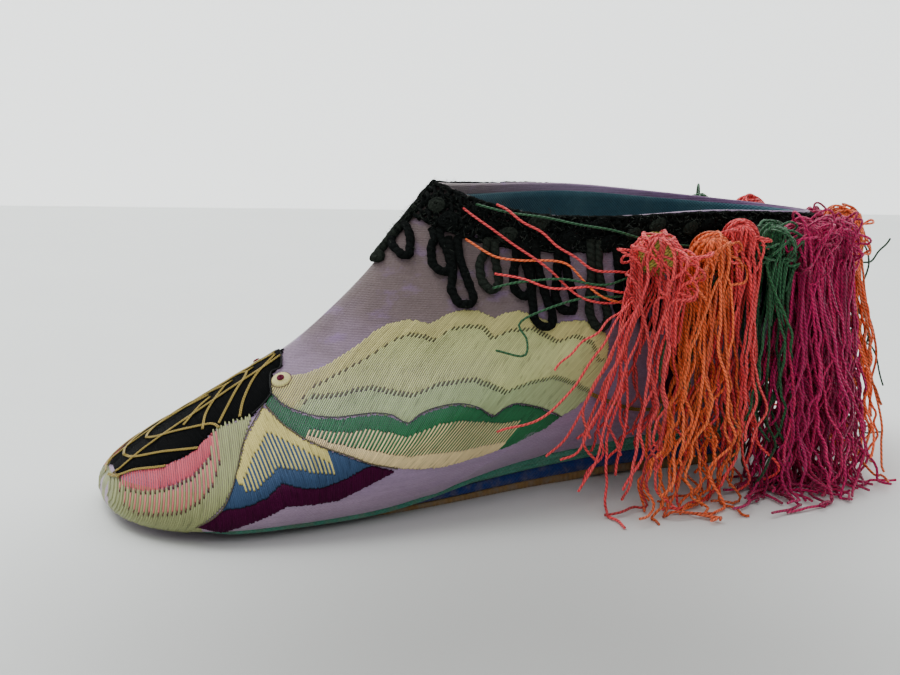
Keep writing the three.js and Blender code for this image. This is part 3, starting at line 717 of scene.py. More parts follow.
class Stitches:
    """Laid threads joined in one mesh. Ends are side view places."""

    def __init__(self, side):
        self.side, self.rows = side, []

    def lay(self, start, end, width, tint):
        self.rows.append((*start, *end, width, *tint))

    def fill(self, outline, lean, pitch, bands, width=1.12):
        """Columns of threads inside an outline. bands is a list of (tint, cut, slit), from the top down. A
        cut is the line under the band, or a pair of lines that take turns, as the teeth of a comb do. Every
        other thread has a slit at the cut, where the needle went in, filled with painted shade."""
        outline = np.array(outline, float)
        sheared = np.stack([outline[:, 0] - lean * outline[:, 1], outline[:, 1]], -1)
        after = np.roll(sheared, -1, axis=0)
        columns = np.arange(sheared[:, 0].min() + pitch / 2, sheared[:, 0].max(), pitch)
        for k, column in enumerate(columns):
            crossing = (sheared[:, 0] <= column) != (after[:, 0] <= column)
            a, b = sheared[crossing], after[crossing]
            heights = sorted(a[:, 1] + (b[:, 1] - a[:, 1]) * (column - a[:, 0]) / (b[:, 0] - a[:, 0]))
            for low, high in zip(heights[::2], heights[1::2]):
                self.column(column, low, high, lean, pitch * width / math.hypot(1, lean), bands, k)

    def column(self, column, low, high, lean, width, bands, k):
        """One column of threads, from band to band down to its lower end."""
        top = high + RANDOM.uniform(-END_SCATTER, END_SCATTER)
        low = low + RANDOM.uniform(-END_SCATTER, END_SCATTER)
        for tint, cut, slit in bands:
            bottom, hole = low, slit * (k % 2) / 2
            under = 0 if k % 2 or not slit else TUCK
            if cut is not None:
                line = np.array(cut[k % 2] if isinstance(cut, tuple) else cut, float)
                order = np.argsort(line[:, 0] - lean * line[:, 1])
                across = (line[:, 0] - lean * line[:, 1])[order]
                bottom = float(np.interp(column, across, line[order, 1]))
                bottom += RANDOM.uniform(-CUT_SCATTER, CUT_SCATTER)
                bottom = min(max(bottom, low), top)
            if min(top - bottom, bottom - low) < 2 * hole:
                hole = 0
            if top - bottom > SHORTEST_STITCH:
                shade = RANDOM.normal(1, 0.06)
                end = bottom + hole
                start = (column + lean * end, end)
                self.lay(start, (column + lean * top, top), width, [c * shade for c in tint])
            top = bottom - hole + under
            # painted shade: a dark thread laid in the slit, for the shade in the gap
            if hole:
                start = (column + lean * top, top)
                self.lay(start, (column + lean * end, end), width * 0.9, [c * SLIT_PAINTED_SHADE for c in tint])

    def geometry(self, lift=0.26):
        """Points, faces, uv and tint of the threads: arched across, and low at both ends."""
        rows = np.array(self.rows)
        lengths = np.hypot(rows[:, 2] - rows[:, 0], rows[:, 3] - rows[:, 1])
        counts = np.clip(np.ceil(lengths / THREAD_STEP), 1, 24).astype(int) + 2
        points, quads, uvs, tints, start = [], [], [], [], 0
        for count in np.unique(counts):
            some, size = rows[counts == count], lengths[counts == count]
            ends = np.zeros((len(some), 1))
            near = np.minimum(0.22 / np.maximum(size, 0.5), 0.3)[:, None]
            inner = mixed(near, 1 - near, np.linspace(0, 1, count - 1)[None])
            share = np.concatenate([ends, inner, ends + 1], 1)
            behind = mixed(some[:, 0:1], some[:, 2:3], share)
            height = mixed(some[:, 1:2], some[:, 3:4], share)
            centre, normal = side_surface(self.side, behind, height)
            tangent = unit(np.gradient(centre, axis=1) + 1e-9)
            across = unit(np.cross(tangent, normal))
            raised = np.ones(share.shape)
            raised[:, [0, -1]] = 0
            crown = mixed(0.1, lift, raised)
            strips = [
                centre + across * (some[:, 4:5] * off)[..., None] + normal * (crown + drop)[..., None]
                for off, drop in THREAD_PROFILE
            ]
            grid = np.stack(strips, 2)
            each = grid.shape[1] * grid.shape[2]
            face = grid_quads(grid.shape[1], grid.shape[2])
            quads.append((face[None] + (np.arange(len(some)) * each)[:, None, None]).reshape(-1, 4) + start)
            uv = np.zeros(grid.shape[:3] + (2,))
            uv[..., 0] = (share * size[:, None])[:, :, None] + some[:, 0:1, None]
            uv[..., 1] = np.array([p[0] for p in THREAD_PROFILE])[None, None] + some[:, 0:1, None] * 3.7
            tint = np.broadcast_to(some[:, None, None, 5:8], grid.shape).copy()
            # painted shade: each thread is darkened towards its ends, for the shade in the grooves where the
            # threads dip
            tint *= mixed(0.25, 1, raised)[:, :, None, None]
            # painted shade: darker at the edges of each thread
            tint *= np.array(PAINTED_PROFILE_SHADE)[None, None, :, None]
            points.append(grid.reshape(-1, 3))
            uvs.append(uv.reshape(-1, 2))
            tints.append(tint.reshape(-1, 3))
            start += len(some) * each
        quads = np.concatenate(quads)
        if self.side < 0:
            quads = quads[:, ::-1]
        return np.concatenate(points), quads, np.concatenate(uvs), np.concatenate(tints)

    def piece(self, name, material, slot, stands_for=()):
        points, quads, uv, tint = self.geometry()
        return mesh_piece(name, points, quads, material, stands_for, uv=uv, tint=tint)


def surface_line(side, places, lift, shift=0.0):
    """A path on the skin through side view places, at a lift above it and moved across by a shift."""
    places = np.array(places, float)
    length = np.sum(np.hypot(*np.diff(places, axis=0).T))
    flat = curve_through(places, int(length / LINE_STEP))
    centre, normal = side_surface(side, flat[:, 0], flat[:, 1])
    across = unit(np.cross(np.gradient(centre, axis=0), normal))
    return centre + normal * lift + across * shift


CAP_EDGE = [
    (32.6, 26.7), (31.4, 24.6), (29.6, 23.7), (28.5, 21.7), (28.3, 21), (26.4, 19.5), (24.2, 18.1),
    (18.5, 16.1), (17.7, 15.6), (15.6, 14.3), (13.4, 12.8), (9.9, 11.2), (8.5, 10.7), (4.3, 9.4),
    (2.1, 8.1),
]
CAP_RIBS = [
    [(31.6, 26.1), (27.0, 22.9), (24.0, 20.0), (22.2, 17.6)],
    [(27.2, 23.9), (23.7, 21.1), (21.0, 18.6), (18.8, 16.5)],
    [(23.5, 21.8), (20.4, 19.7), (17.6, 17.4), (16.1, 15.5)],
    [(19.4, 19.3), (16.8, 17.7), (13.7, 15.5)],
    [(7.9, 12.8), (11.6, 14.4), (14.8, 15.5), (17.7, 16.3), (18.6, 16.0)],
    [(4.0, 10.1), (9.0, 12.0), (14.4, 13.3)],
    [(1.1, 7.3), (4.3, 9.2), (8.9, 10.6)],
]
FRONT_WING = [
    (0.4, 5.6), (0.1, 4.4), (0.1, 3.2), (0.8, 2.5), (2, 2.3), (5.1, 1.9), (7.4, 2.0), (10.2, 1.9),
    (11.1, 3.1), (14, 5.5), (15.7, 7.1), (17.7, 9.6), (19, 11.3), (21.4, 14.9), (24.2, 18.1),
    (18.5, 16.1), (17.7, 15.6), (15.6, 14.3), (13.4, 12.8), (9.9, 11.2), (8.5, 10.7), (4.3, 9.4),
    (2.1, 8.1), (1.2, 7.2),
]
PINK_LOW = [
    (1.4, 11), (2.2, 6.8), (5.3, 7.2), (8.7, 8.4), (12.1, 9.9), (15.6, 12.4), (17.4, 15.6), (20.5, 22),
]
PALE_LOW = [
    (1.2, 11), (1.8, 4.8), (3.2, 4.1), (5.6, 4.6), (9.1, 5.4), (11.7, 6.8), (14.8, 9.4), (16.7, 12),
    (21, 22),
]
LOWER_WING = [
    (26.3, 19.3), (21.5, 14.9), (18.8, 11.2), (15.1, 6.1), (11.2, 3.4), (15.3, 2.0), (18, 3.2), (21.6, 4.6),
    (25.6, 6.4), (29.9, 6.1), (34.3, 6.3), (38.4, 7.9), (41.3, 9.2), (44.4, 10.4), (40, 12), (33, 14.5),
    (30.3, 15.5), (27.9, 17.5),
]
CREAM_LOW = [
    (15, 14), (18.9, 9.7), (21.3, 12.5), (25.4, 16.2), (28.2, 15.0), (32.4, 12.9), (33.3, 12.5),
    (33, 20),
]
TEETH_LOW = [
    (15, 14), (19.4, 8.7), (20.8, 9.0), (25.1, 11.9), (26.7, 11.8), (29.5, 11.4), (33.4, 11.0),
    (33, 20),
]
MAGENTA_TOP = [
    (11.2, 3.4), (15.1, 6.1), (18.9, 6.7), (22, 7.8), (25, 10), (27.9, 9.2), (31.1, 9), (34.8, 10),
    (38.1, 11.4), (40, 12),
]
GREEN_TOP = [
    (28.2, 21.2), (29.3, 19.7), (31.1, 19), (33.2, 18.5), (36.6, 18.4), (39.8, 18.8), (42.5, 19.1),
    (45.2, 18.9), (47.3, 17.8), (49.9, 19.1), (52.9, 20), (56.7, 20.5), (60, 19.8), (62.6, 18.2),
    (64.5, 19.3), (67.3, 20), (72.4, 18.6), (77.2, 16.3),
]
WING_TOP = [
    (29, 22.6), (32.4, 23.7), (35.5, 24.3), (39.1, 25.7), (42.1, 27.4), (44.9, 29), (47.6, 31), (50.1, 32.3),
    (53.2, 33.1), (55.2, 32.9), (56.7, 32.5), (59.4, 34), (62.2, 35), (64.5, 35), (67.1, 33.7), (68.9, 34.6),
    (71.2, 35), (74, 34.2), (76.7, 32.8), (78.9, 33.3), (81.5, 33.4), (83.8, 32.8), (86, 30.8), (86.7, 29.2),
    (86.6, 26.7), (85.2, 22.4), (82.7, 19.1), (80.1, 17.3),
]
WING_ROW_1 = [
    (24, 15), (35.2, 22.4), (38.7, 23.8), (41.2, 24.9), (44, 26.1), (47, 27.7), (50.4, 29.7),
    (52.7, 30.6), (55, 30.4), (56.7, 29.7), (59.4, 31.6), (62.8, 32.3), (64.8, 32), (66, 30.3),
    (69, 31.6), (73, 32), (76.5, 29.8), (80, 30.8), (83, 29.5), (84.6, 26),
]
WING_ROW_2 = [
    (24, 14), (33.9, 21), (36.9, 21.2), (39.2, 21.6), (41.5, 22.2), (43.7, 22.5), (45.7, 22.3),
    (47.4, 21.9), (49.5, 21.6), (51.3, 22.1), (54.3, 23.2), (57.6, 23.7), (60.7, 24), (62.8, 23.2),
    (65.1, 22.1), (70, 23.4), (75, 24), (80, 22), (84, 20),
]
GREEN_LOW = [
    (26.7, 19.4), (28.1, 17.2), (30.4, 15.6), (33, 14.5), (36.3, 13.5), (39.5, 12.3), (44.4, 11),
    (48.6, 10.3), (52.8, 9.9), (56.2, 10.2), (62.1, 11), (68, 12.2), (71.3, 13.6), (74, 14.4),
    (75.6, 15.4),
]
COMB_TOP = [
    (22, 8), (31.9, 16.9), (34.8, 16.7), (37.5, 16.6), (41, 17.1), (44.1, 16.6), (46.7, 16), (49.6, 16.8),
    (52.5, 17.7), (56, 18), (60, 17.6), (64.1, 16.8), (68.8, 16.7), (61.5, 8),
]
COMB_LOW = [
    (22, 8), (31.3, 16.1), (34.1, 15.3), (38, 14.6), (42.2, 13.8), (46.9, 12.8), (50.7, 12.9), (56.1, 12.6),
    (59.5, 12.9), (65.9, 13.1), (62, 8),
]
EYE = (30.6, 22.9)
EYE_RADIUS = 1.85
HEEL_LEAF = [(101, 16), (99.6, 22), (101.4, 29), (104.6, 34), (106.4, 28), (106, 21), (103.6, 16)]
HEEL_GOLD = [(83, 20.1), (85.7, 18.8), (88.9, 17.4), (94.5, 15.4), (100, 14.6), (105.3, 14.2), (112, 15.2)]


def dropped(line, by):
    return [(behind, height - by) for behind, height in line]


def sew(side, name, finish, slot, outline, lean, pitch, bands, stands_for=()):
    patch = Stitches(side)
    patch.fill(outline, lean, pitch, bands)
    patch.piece(name, finish, slot, stands_for)


def make_embroidery():
    gold = twisted("gold_thread", 1.8, 1, 0.42, 0.55, 1.1, 0.05, Metallic=0.35)
    dark = twisted("outline_thread", 1.6, 1, 0.7, 0.6, 1.0, 0.05)
    pink, cream, green = [floss(name) for name in ("pink_floss", "cream_floss", "green_floss")]
    black = floss("black_silk", 0.85, Specular_IOR_Level=0.04)
    blue = floss("blue_floss_soft", 0.65, Specular_IOR_Level=0.1)
    magenta = floss("magenta_floss", 0.7, Specular_IOR_Level=0.1)
    caps, cap_gold = [], Tubes()
    for side, word in ((1, "left"), (-1, "right")):
        cap = Stitches(side)
        cap.fill(CAP_EDGE + dropped(ridge_line(1.4, 32.6), -0.5), -0.5, 0.4, [(BLACK, None, 0)], 1.9)
        caps.append(cap)
        for rib in CAP_RIBS + [CAP_EDGE[-1:] + ridge_line(1.8, 32.2)]:
            for shift in (-0.13, 0.13):
                inward = 0.35 if rib[0] == CAP_EDGE[-1] else 0
                cap_gold.add(surface_line(side, dropped(rib, inward), 0.38, shift), 0.115, GOLD)

        name = f"front_wing_stitches_{word}"
        bands = [(PINK, PINK_LOW, 0.45), (PINK_PALE, (PINK_LOW, PALE_LOW), 0.45), (CELADON, None, 0)]
        sew(side, name, pink, "pink_floss", FRONT_WING, 0.32, 0.3, bands, [f"front_wing_{word}"])
        make_tip_ground(side, word, pink)

        name = f"lower_wing_stitches_{word}"
        bands = [(CREAM_WARM, (CREAM_LOW, TEETH_LOW), 0), (BLUE, MAGENTA_TOP, 0), (MAGENTA_DARK, None, 0)]
        sew(side, name, blue, "blue_floss", LOWER_WING, -0.08, 0.31, bands, [f"lower_wing_{word}"])

        name, outline = f"back_wing_stitches_{word}", WING_TOP + GREEN_TOP[::-1]
        bands = [(CREAM, WING_ROW_1, 0.5), (WING, WING_ROW_2, 0.6), (WING_LOW, None, 0)]
        sew(side, name, cream, "cream_floss", outline, 1.1, 0.33, bands, [f"back_wing_{word}"])

        name, outline = f"green_wing_stitches_{word}", dropped(GREEN_TOP, 0.15) + GREEN_LOW[::-1]
        bands = [(GREEN, (COMB_TOP, COMB_LOW), 0), (TAN, None, 0)]
        sew(side, name, green, "green_floss", outline, 0.98, 0.32, bands, [f"green_wing_{word}"])

        bands = [(MAGENTA_DARK, None, 0)]
        sew(side, f"heel_leaf_stitches_{word}", magenta, "blue_floss", HEEL_LEAF, 0.1, 0.34, bands)
        make_eye(side, word, cream)

        lines = Tubes()
        for line, tint, radius in ((GREEN_TOP, srgb(78, 72, 82), 0.1), (CAP_EDGE[:7], BLACK, 0.18)):
            lines.add(surface_line(side, line, 0.36), radius, tint, 5)
        for edge in (LOWER_WING[:5], GREEN_LOW[:7]):
            lines.add(surface_line(side, edge, 0.34), 0.12, srgb(96, 88, 70), 5)
        lines.piece(f"outline_threads_{word}", dark, "black_silk")

        heel = Tubes()
        for shift in (-0.2, 0.2):
            heel.add(surface_line(side, HEEL_GOLD, 0.3, shift), 0.18, GOLD)
            heel.add(surface_line(side, HEEL_LEAF + HEEL_LEAF[:1], 0.34, shift * 0.8), 0.15, GOLD)
        heel.piece(f"heel_gold_threads_{word}", gold, "cream_floss")

    left, right = [cap.geometry(lift=0.3) for cap in caps]
    quads = np.concatenate([left[1], right[1] + len(left[0])])
    points, uv, tint = [np.concatenate([left[k], right[k]]) for k in (0, 2, 3)]
    mesh_piece("toe_cap_stitches", points, quads, black, ["toe_cap"], uv=uv, tint=tint)
    cap_gold.piece("toe_cap_gold_threads", gold, "black_silk")


def make_tip_ground(side, word, material):
    """The celadon threads at the very tip, as one patch under the other stitches, its ribs painted as
    stripes of shade.
    """
    ups, alongs = np.linspace(0.035, 0.27, 26), np.linspace(0, 0.09, 40)
    up, along = np.meshgrid(ups, alongs, indexing="ij")
    points = last_point(side, along, up) + last_normal(side, along, up) * 0.07
    points[:, 0, 1] = 0
    quads = grid_quads(*up.shape)
    if side > 0:
        quads = quads[:, ::-1]
    uv = np.stack([points[..., 2], along * 90], -1)
    # painted shade: darker stripes across the patch stand for the hollows between its threads
    tint = np.array(CELADON) * (0.9 + 0.1 * np.cos(along * 1400))[..., None]
    mesh_piece(f"tip_ground_{word}", points, quads, material, uv=uv, tint=tint)


def make_eye(side, word, material):
    """A round raised button of satin stitches with a knot in its middle and a dark thread round it."""
    rings, around = 12, 40
    turn = np.linspace(0, 2 * math.pi, around + 1)[:-1]
    middle, normal = side_surface(side, *EYE)
    level = unit(np.cross(normal, (0, 0, 1)))
    upright = np.cross(normal, level)

    def disc(radius, turn, lift):
        flat = level * (radius * np.cos(turn))[..., None] + upright * (radius * np.sin(turn))[..., None]
        return middle + flat + normal * np.broadcast_to(lift, turn.shape)[..., None]

    points, tints = [], []
    for k in range(rings + 1):
        share = k / rings
        dome = 0.55 * math.sqrt(max(1 - share ** 2.4, 0)) + 0.2 - 0.3 * (k == rings)
        points.append(disc(EYE_RADIUS * share, turn, dome + 0.05 * np.cos(turn * 20) * share))
        # painted shade: darker in the hollows between the satin ridges, and on the outer ring where the
        # button meets the cloth
        shade = (0.9 + 0.1 * np.cos(turn * 20)) * (0.75 if k == rings else 1)
        tints.append(np.array(CREAM)[None] * shade[:, None])
    quads = grid_quads(rings + 1, around, wrap_columns=True)
    if side > 0:
        quads = quads[:, ::-1]
    uv = np.zeros((rings + 1, around, 2))
    uv[..., 0] = np.linspace(0, EYE_RADIUS, rings + 1)[:, None]
    uv[..., 1] = np.linspace(0, 6, around)[None]
    mesh_piece(f"eye_button_{word}", np.array(points), quads, material, [f"eye_{word}"],
               uv=uv, tint=np.array(tints))
    knot = Tubes()
    coil = np.linspace(0, 4.5 * 2 * math.pi, 70)
    radius = 0.5 * np.sin(np.linspace(0.25, math.pi * 0.92, 70)) ** 0.7
    knot.add(disc(radius, coil, 0.7 + 0.25 * np.linspace(0, 1, 70)), 0.2, srgb(110, 16, 52), 6)
    rim = np.linspace(0, 2 * math.pi, 60)
    knot.add(disc(1.02 * EYE_RADIUS, rim, 0.22), 0.09, srgb(110, 82, 84), 5)
    knot.piece(f"eye_knot_{word}", twisted(f"eye_thread_{word}", 1.8, 1, 0.6), "magenta_silk")


# The collar of black cord

def rim_frame(side, along, below=0.0, off=0.0):
    """Points near the rim: so far below it along the skin, and so far off the skin."""
    side, along, below = np.broadcast_arrays(np.asarray(side, float), np.asarray(along, float), below)
    up = np.ones(along.shape)
    for _ in range(4):
        here = last_point(side, along, up)
        step = last_point(side, along, np.maximum(up - 0.02, 0)) - here
        reached = np.linalg.norm(last_point(side, along, np.ones(along.shape)) - here, axis=-1)
        up = np.clip(up - 0.02 * (below - reached) / np.linalg.norm(step, axis=-1), 0.4, 1)
    return last_point(side, along, up) + last_normal(side, along, up) * np.asarray(off)[..., None]


def rim_walk(spacing):
    """Sides and places along at an even spacing right round the rim, from the front and back to it."""
    sides, along = ring_steps(1200)
    points = last_point(sides, along, np.ones(along.shape))
    ahead = np.roll(points, -1, axis=0)
    lengths = np.concatenate([[0], np.cumsum(np.linalg.norm(ahead - points, axis=1))])
    count = int(lengths[-1] / spacing)
    at = np.linspace(0, lengths[-1], count + 1)[:-1]
    return at, *rolled(np.interp(at, lengths, np.concatenate([unrolled(sides, along), [2]])))


def closed_path(points):
    return np.concatenate([points, points[:1]])


LOOPS = [
    # behind the toe, lowest height, width
    (51.2, 42.6, 3.2), (55.4, 43.6, 3.4), (60.6, 41.0, 3.7), (62.8, 35.6, 4.1), (67.6, 38.2, 3.8),
    (72.7, 37.2, 3.8), (75.0, 32.2, 4.2), (79.2, 34.8, 3.9), (84.6, 32.0, 4.2), (90.0, 33.0, 4.1),
    (95.4, 31.4, 4.2), (101.0, 33.0, 4.1), (108.0, 31.6, 4.2), (115.0, 33.2, 4.1), (122.0, 32.0, 4.2),
    (129.0, 34.0, 4.1),
]
COLLAR_ROWS = (
    # below the rim, size of the waves, phase
    (1.1, 0.95, 0.0), (2.6, 1.1, 1.9), (4.1, 1.1, 3.8), (5.6, 1.1, 5.1), (6.9, 0.9, 0.7),
)
COLLAR_WAVE = 1.75
LOOP_LIFT = 0.85


def make_collar():
    cord = twisted("black_cord", 0.9, 2, 0.95, 0.7, 1.15, 0.2, 1.0, Specular_IOR_Level=0.06)
    trim, hanging = Tubes(), []
    at, sides, along = rim_walk(0.28)
    for below, size, phase in COLLAR_ROWS:
        turn = at * 2 * math.pi / COLLAR_WAVE + phase
        wander = 0.25 * np.sin(at * 0.37 + phase) + 0.15 * np.sin(at * 1.1 + phase * 2)
        run = np.interp(at + size * 0.8 * np.cos(turn), at, unrolled(sides, along))
        depth = np.clip(below + size * np.sin(turn) + wander, 0.3, 8)
        lift = 0.62 + 0.35 * np.cos(turn + 0.6) + 0.12 * np.sin(at * 2.3)
        trim.add(closed_path(rim_frame(*rolled(run), depth, lift)), 0.42, CORD_BLACK)
    for below, lift, radius in ((0.35, 0.42, 0.42), (7.7, 0.5, 0.4)):
        ripple = 0.12 * np.sin(at * 1.9)
        path = rim_frame(sides[::2], along[::2], (below + ripple)[::2], lift)
        trim.add(closed_path(path), radius, CORD_BLACK)
    for side in (1, -1):
        for k, (behind, lowest, width) in enumerate(LOOPS):
            behind = behind + (0 if side > 0 else RANDOM.uniform(-1, 1))
            lowest = lowest + (0 if side > 0 else 2.0 + RANDOM.uniform(-1, 1))
            hanging.append(add_loop(trim, side, behind, lowest, width, k))
    for k, turn in enumerate(np.linspace(0, len(at) - 1, 56)[1:-1]):
        i = int(turn)
        add_coil(trim, sides[i], along[i], 4.4 + 2.2 * math.sin(k * 2.2), 1.5 + 0.3 * math.sin(k * 1.7))
    trim.piece("collar_cords", cord, "black_cord", ["collar_trim"])
    make_fuzz(at, sides, along, np.concatenate(hanging))


def add_loop(trim, side, behind, lowest, width, k, steps=44):
    """A hanging eyelet of cord: a wide one at the bottom, its two ends meeting under the band."""
    along, _ = find_place(side, behind, lowest)
    rim = rim_frame(side, along, 6.0)
    tall = min(rim[2], lowest + 16) - lowest
    half = width / 2 - 0.5
    eye = min(4.4, tall * 0.75)
    narrow = half * 0.42
    arm = [
        (narrow, tall), (narrow, eye + (tall - eye) * 0.5), (0.8 * half, eye), (0.98 * half, 0.62 * eye),
        (0.93 * half, 0.3 * eye), (0.5 * half, 0.05 * eye),
    ]
    shape = [(-x, y) for x, y in arm] + [(0, 0)] + arm[::-1]
    lean = 0.35 * math.sin(k * 1.9) + 0.5
    places = np.array([(behind + x + lean * (y / max(tall, 1)) ** 2 * 2, lowest + y) for x, y in shape])
    places += RANDOM.normal(0, 0.1, places.shape)
    flat = curve_through(places, steps)
    centre, normal = side_surface(side, flat[:, 0], flat[:, 1])
    path = centre + normal * LOOP_LIFT
    rough = 0.82 + 0.07 * np.sin(np.arange(steps) * 1.9 + k) + RANDOM.normal(0, 0.03, steps)
    # every fourth loop is worn lighter and carries a painted highlight
    trim.add(path, rough[None], CORD_BLACK if k % 4 else CORD_WORN_HIGHLIT, 8)
    return path


def add_coil(trim, side, along, below, size):
    turn = np.linspace(0, 3.2 * 2 * math.pi, 46)
    radius = np.linspace(0.3, size, 46)
    centre = rim_frame(side, along, below)
    ahead = unit(rim_frame(side, min(along + 0.01, 1), below) - rim_frame(side, max(along - 0.01, 0), below))
    down = unit(rim_frame(side, along, below + 0.8) - rim_frame(side, along, below - 0.4))
    out = unit(np.cross(ahead, down)) * side
    out = out if np.dot(out, [0, side, 0.01]) > 0 or along > 0.98 else -out
    path = centre + out * 1.15 + ahead * (radius * np.cos(turn))[:, None]
    path = path + down * (radius * np.sin(turn))[:, None]
    # some coils are worn lighter and carry a painted highlight
    tint = CORD_WORN_HIGHLIT if along * 97 % 1 > 0.6 else CORD_BLACK
    trim.add(path + out * np.linspace(0.35, 0, 46)[:, None], 0.36, tint)


def make_fuzz(at, sides, along, hanging):
    """Short loose fibres that stand off the old cord."""
    fuzz = Tubes()
    count = 2600
    pick = RANDOM.integers(0, len(at), count)
    below = RANDOM.uniform(0, 8.4, count)
    start = rim_frame(sides[pick], along[pick], below, 0.8 + RANDOM.uniform(0, 0.5, count))
    ways = unit(RANDOM.normal(0, 1, (count, 3)) + (start - rim_frame(sides[pick], along[pick], below)) * 0.9)
    bends = RANDOM.normal(0, 0.5, (count, 3))
    more = 2200
    loop_start = hanging[RANDOM.integers(0, len(hanging), more)] + RANDOM.normal(0, 0.25, (more, 3))
    start = np.concatenate([start, loop_start])
    ways = np.concatenate([ways, unit(RANDOM.normal(0, 1, (more, 3)))])
    bends = np.concatenate([bends, RANDOM.normal(0, 0.5, (more, 3))])
    count += more
    share = np.linspace(0, 1, 4)[None, :, None]
    length = RANDOM.uniform(0.4, 1.3, count)[:, None, None]
    paths = start[:, None] + ways[:, None] * share * length + bends[:, None] * (share * length) ** 2 * 0.35
    # the loose fibres are greenish grey, made lighter still as a painted highlight
    fuzz.add(paths, 0.035, srgb(66, 72, 66), 3)
    finish = twisted("fuzz", 1, 1, 0.9, 0.8, 1.0, 0.02, Specular_IOR_Level=0.05)
    fuzz.piece("collar_fuzz", finish, "black_cord")


# The tassels

TASSELS = [
    # node, side, along, colour, size, cords, splay, sweep, spread, how much lies on the floor
    ("tassel_1_coral", 1, 0.385, "coral", 1.25, 23, 6.0, 12.0, 4.2, 0.08),
    ("tassel_2_orange", 1, 0.5, "orange", 1.05, 38, 9.0, 15.0, 1.9, 0.5),
    ("tassel_3_coral", 1, 0.592, "coral", 0.92, 26, 8.0, 11.0, 2.8, 0.3),
    ("tassel_4_moss", 1, 0.68, "moss", 0.92, 22, 5.0, 9.0, 3.0, 0.05),
    ("tassel_5_magenta", 1, 0.77, "magenta", 1.05, 90, 13.0, 10.0, 4.8, 0.7),
    ("tassel_6_magenta", 1, 0.868, "magenta", 1, 92, 8.0, 15.0, 3.6, 0.5),
    ("tassel_7_orange", 1, 0.953, "orange", 1.1, 40, 6.0, 24.0, 3.0, 0.4),
    ("tassel_8_magenta", 0, 1, "magenta", 1.1, 54, -4.0, 12.0, 1.2, 0.3),
    ("tassel_9_coral", -1, 0.953, "coral", 1.1, 30, 6.0, 0.0, 3.8, 0.5),
    ("tassel_10_moss", -1, 0.868, "moss", 1, 26, 6.0, 0.0, 3.8, 0.4),
    ("tassel_11_navy", -1, 0.77, "navy", 1.05, 30, 5.0, 0.0, 3.6, 0.5),
    ("tassel_12_magenta", -1, 0.68, "magenta", 0.92, 30, 5.0, 0.0, 3.6, 0.5),
    ("tassel_13_orange", -1, 0.592, "orange", 0.92, 26, 5.0, 1.0, 3.2, 0.5),
    ("tassel_14_coral", -1, 0.5, "coral", 1.05, 30, 5.0, 1.0, 3.6, 0.5),
    ("tassel_15_moss", -1, 0.385, "moss", 1.25, 30, 5.0, 3.0, 4.2, 0.4),
]
# Loose cords laid one by one: behind the toe and height on the skin, or behind, width and height when free
STRAYS = {
    "tassel_1_coral": [
        [(94, 43), (90.2, 41.1), (84.1, 41.9), (79.7, 45.5), (75.3, 49.3), (71.2, 52.4)],
        [(93, 39.2), (88.1, 36.1), (81.7, 36.8), (77.6, 41.3), (73.3, 45.1), (68.9, 48.9), (66.1, 51.7)],
        [(92, 28, 40), (85, 30, 34), (81, 31, 29), (76, 31, 23), (72, 31, 19), (67, 30, 17), (62, 30, 16)],
        [(93, 28, 39), (86, 31, 33), (82, 32, 27), (78, 32, 20), (75, 31, 14), (71, 31, 11)],
        [(94, 28, 39), (87, 31, 32), (83, 32, 24), (80, 32, 17), (77, 32, 12), (74, 31, 10)],
        [(94, 28, 38), (89, 31, 31), (84, 33, 22), (81, 34, 16), (79, 34, 9), (76, 34, 5)],
        [(91, 28, 39), (82, 30, 33), (76, 30, 29), (73, 30, 26)],
        [(94, 40.2), (89.9, 37.8), (83.6, 38.6), (77.3, 38.2), (72.6, 39.8), (68.5, 40.5)],
    ],
    "tassel_2_orange": [
        [(102, 40.1), (93.6, 36.3), (85.4, 36.9), (80.4, 42.5), (72.9, 43), (68.7, 43.7), (65.4, 46.4)],
    ],
    "tassel_4_moss": [
        [(114, 44.2), (107.6, 45.2), (98, 46.3), (89.2, 48.4), (81.1, 50), (74.5, 51), (68.1, 52.4)],
        [(111.8, 43.2), (103.8, 43.1), (94, 41.2), (86.2, 39.1), (79.3, 39.7), (72.5, 39.3), (67.9, 37.9)],
        [(110.2, 41), (98.7, 38), (89.1, 37), (81.7, 36.8), (75.2, 34.5), (70.6, 32.2), (71, 29.5),
         (69.5, 26.8), (65.5, 27.4)],
        [(108, 28, 42), (101, 29, 38), (96, 31, 32), (93, 32, 25), (94, 33, 20), (91, 33, 14)],
        [(109, 28, 42), (104, 29, 37), (101, 31, 31), (98, 33, 26), (99, 33, 22), (97, 33, 17)],
    ],
}
LOOSE_LOOPS = {
    "tassel_1_coral": 16, "tassel_2_orange": 8, "tassel_3_coral": 8, "tassel_4_moss": 16,
    "tassel_5_magenta": 32, "tassel_6_magenta": 34, "tassel_7_orange": 8, "tassel_8_magenta": 20,
}
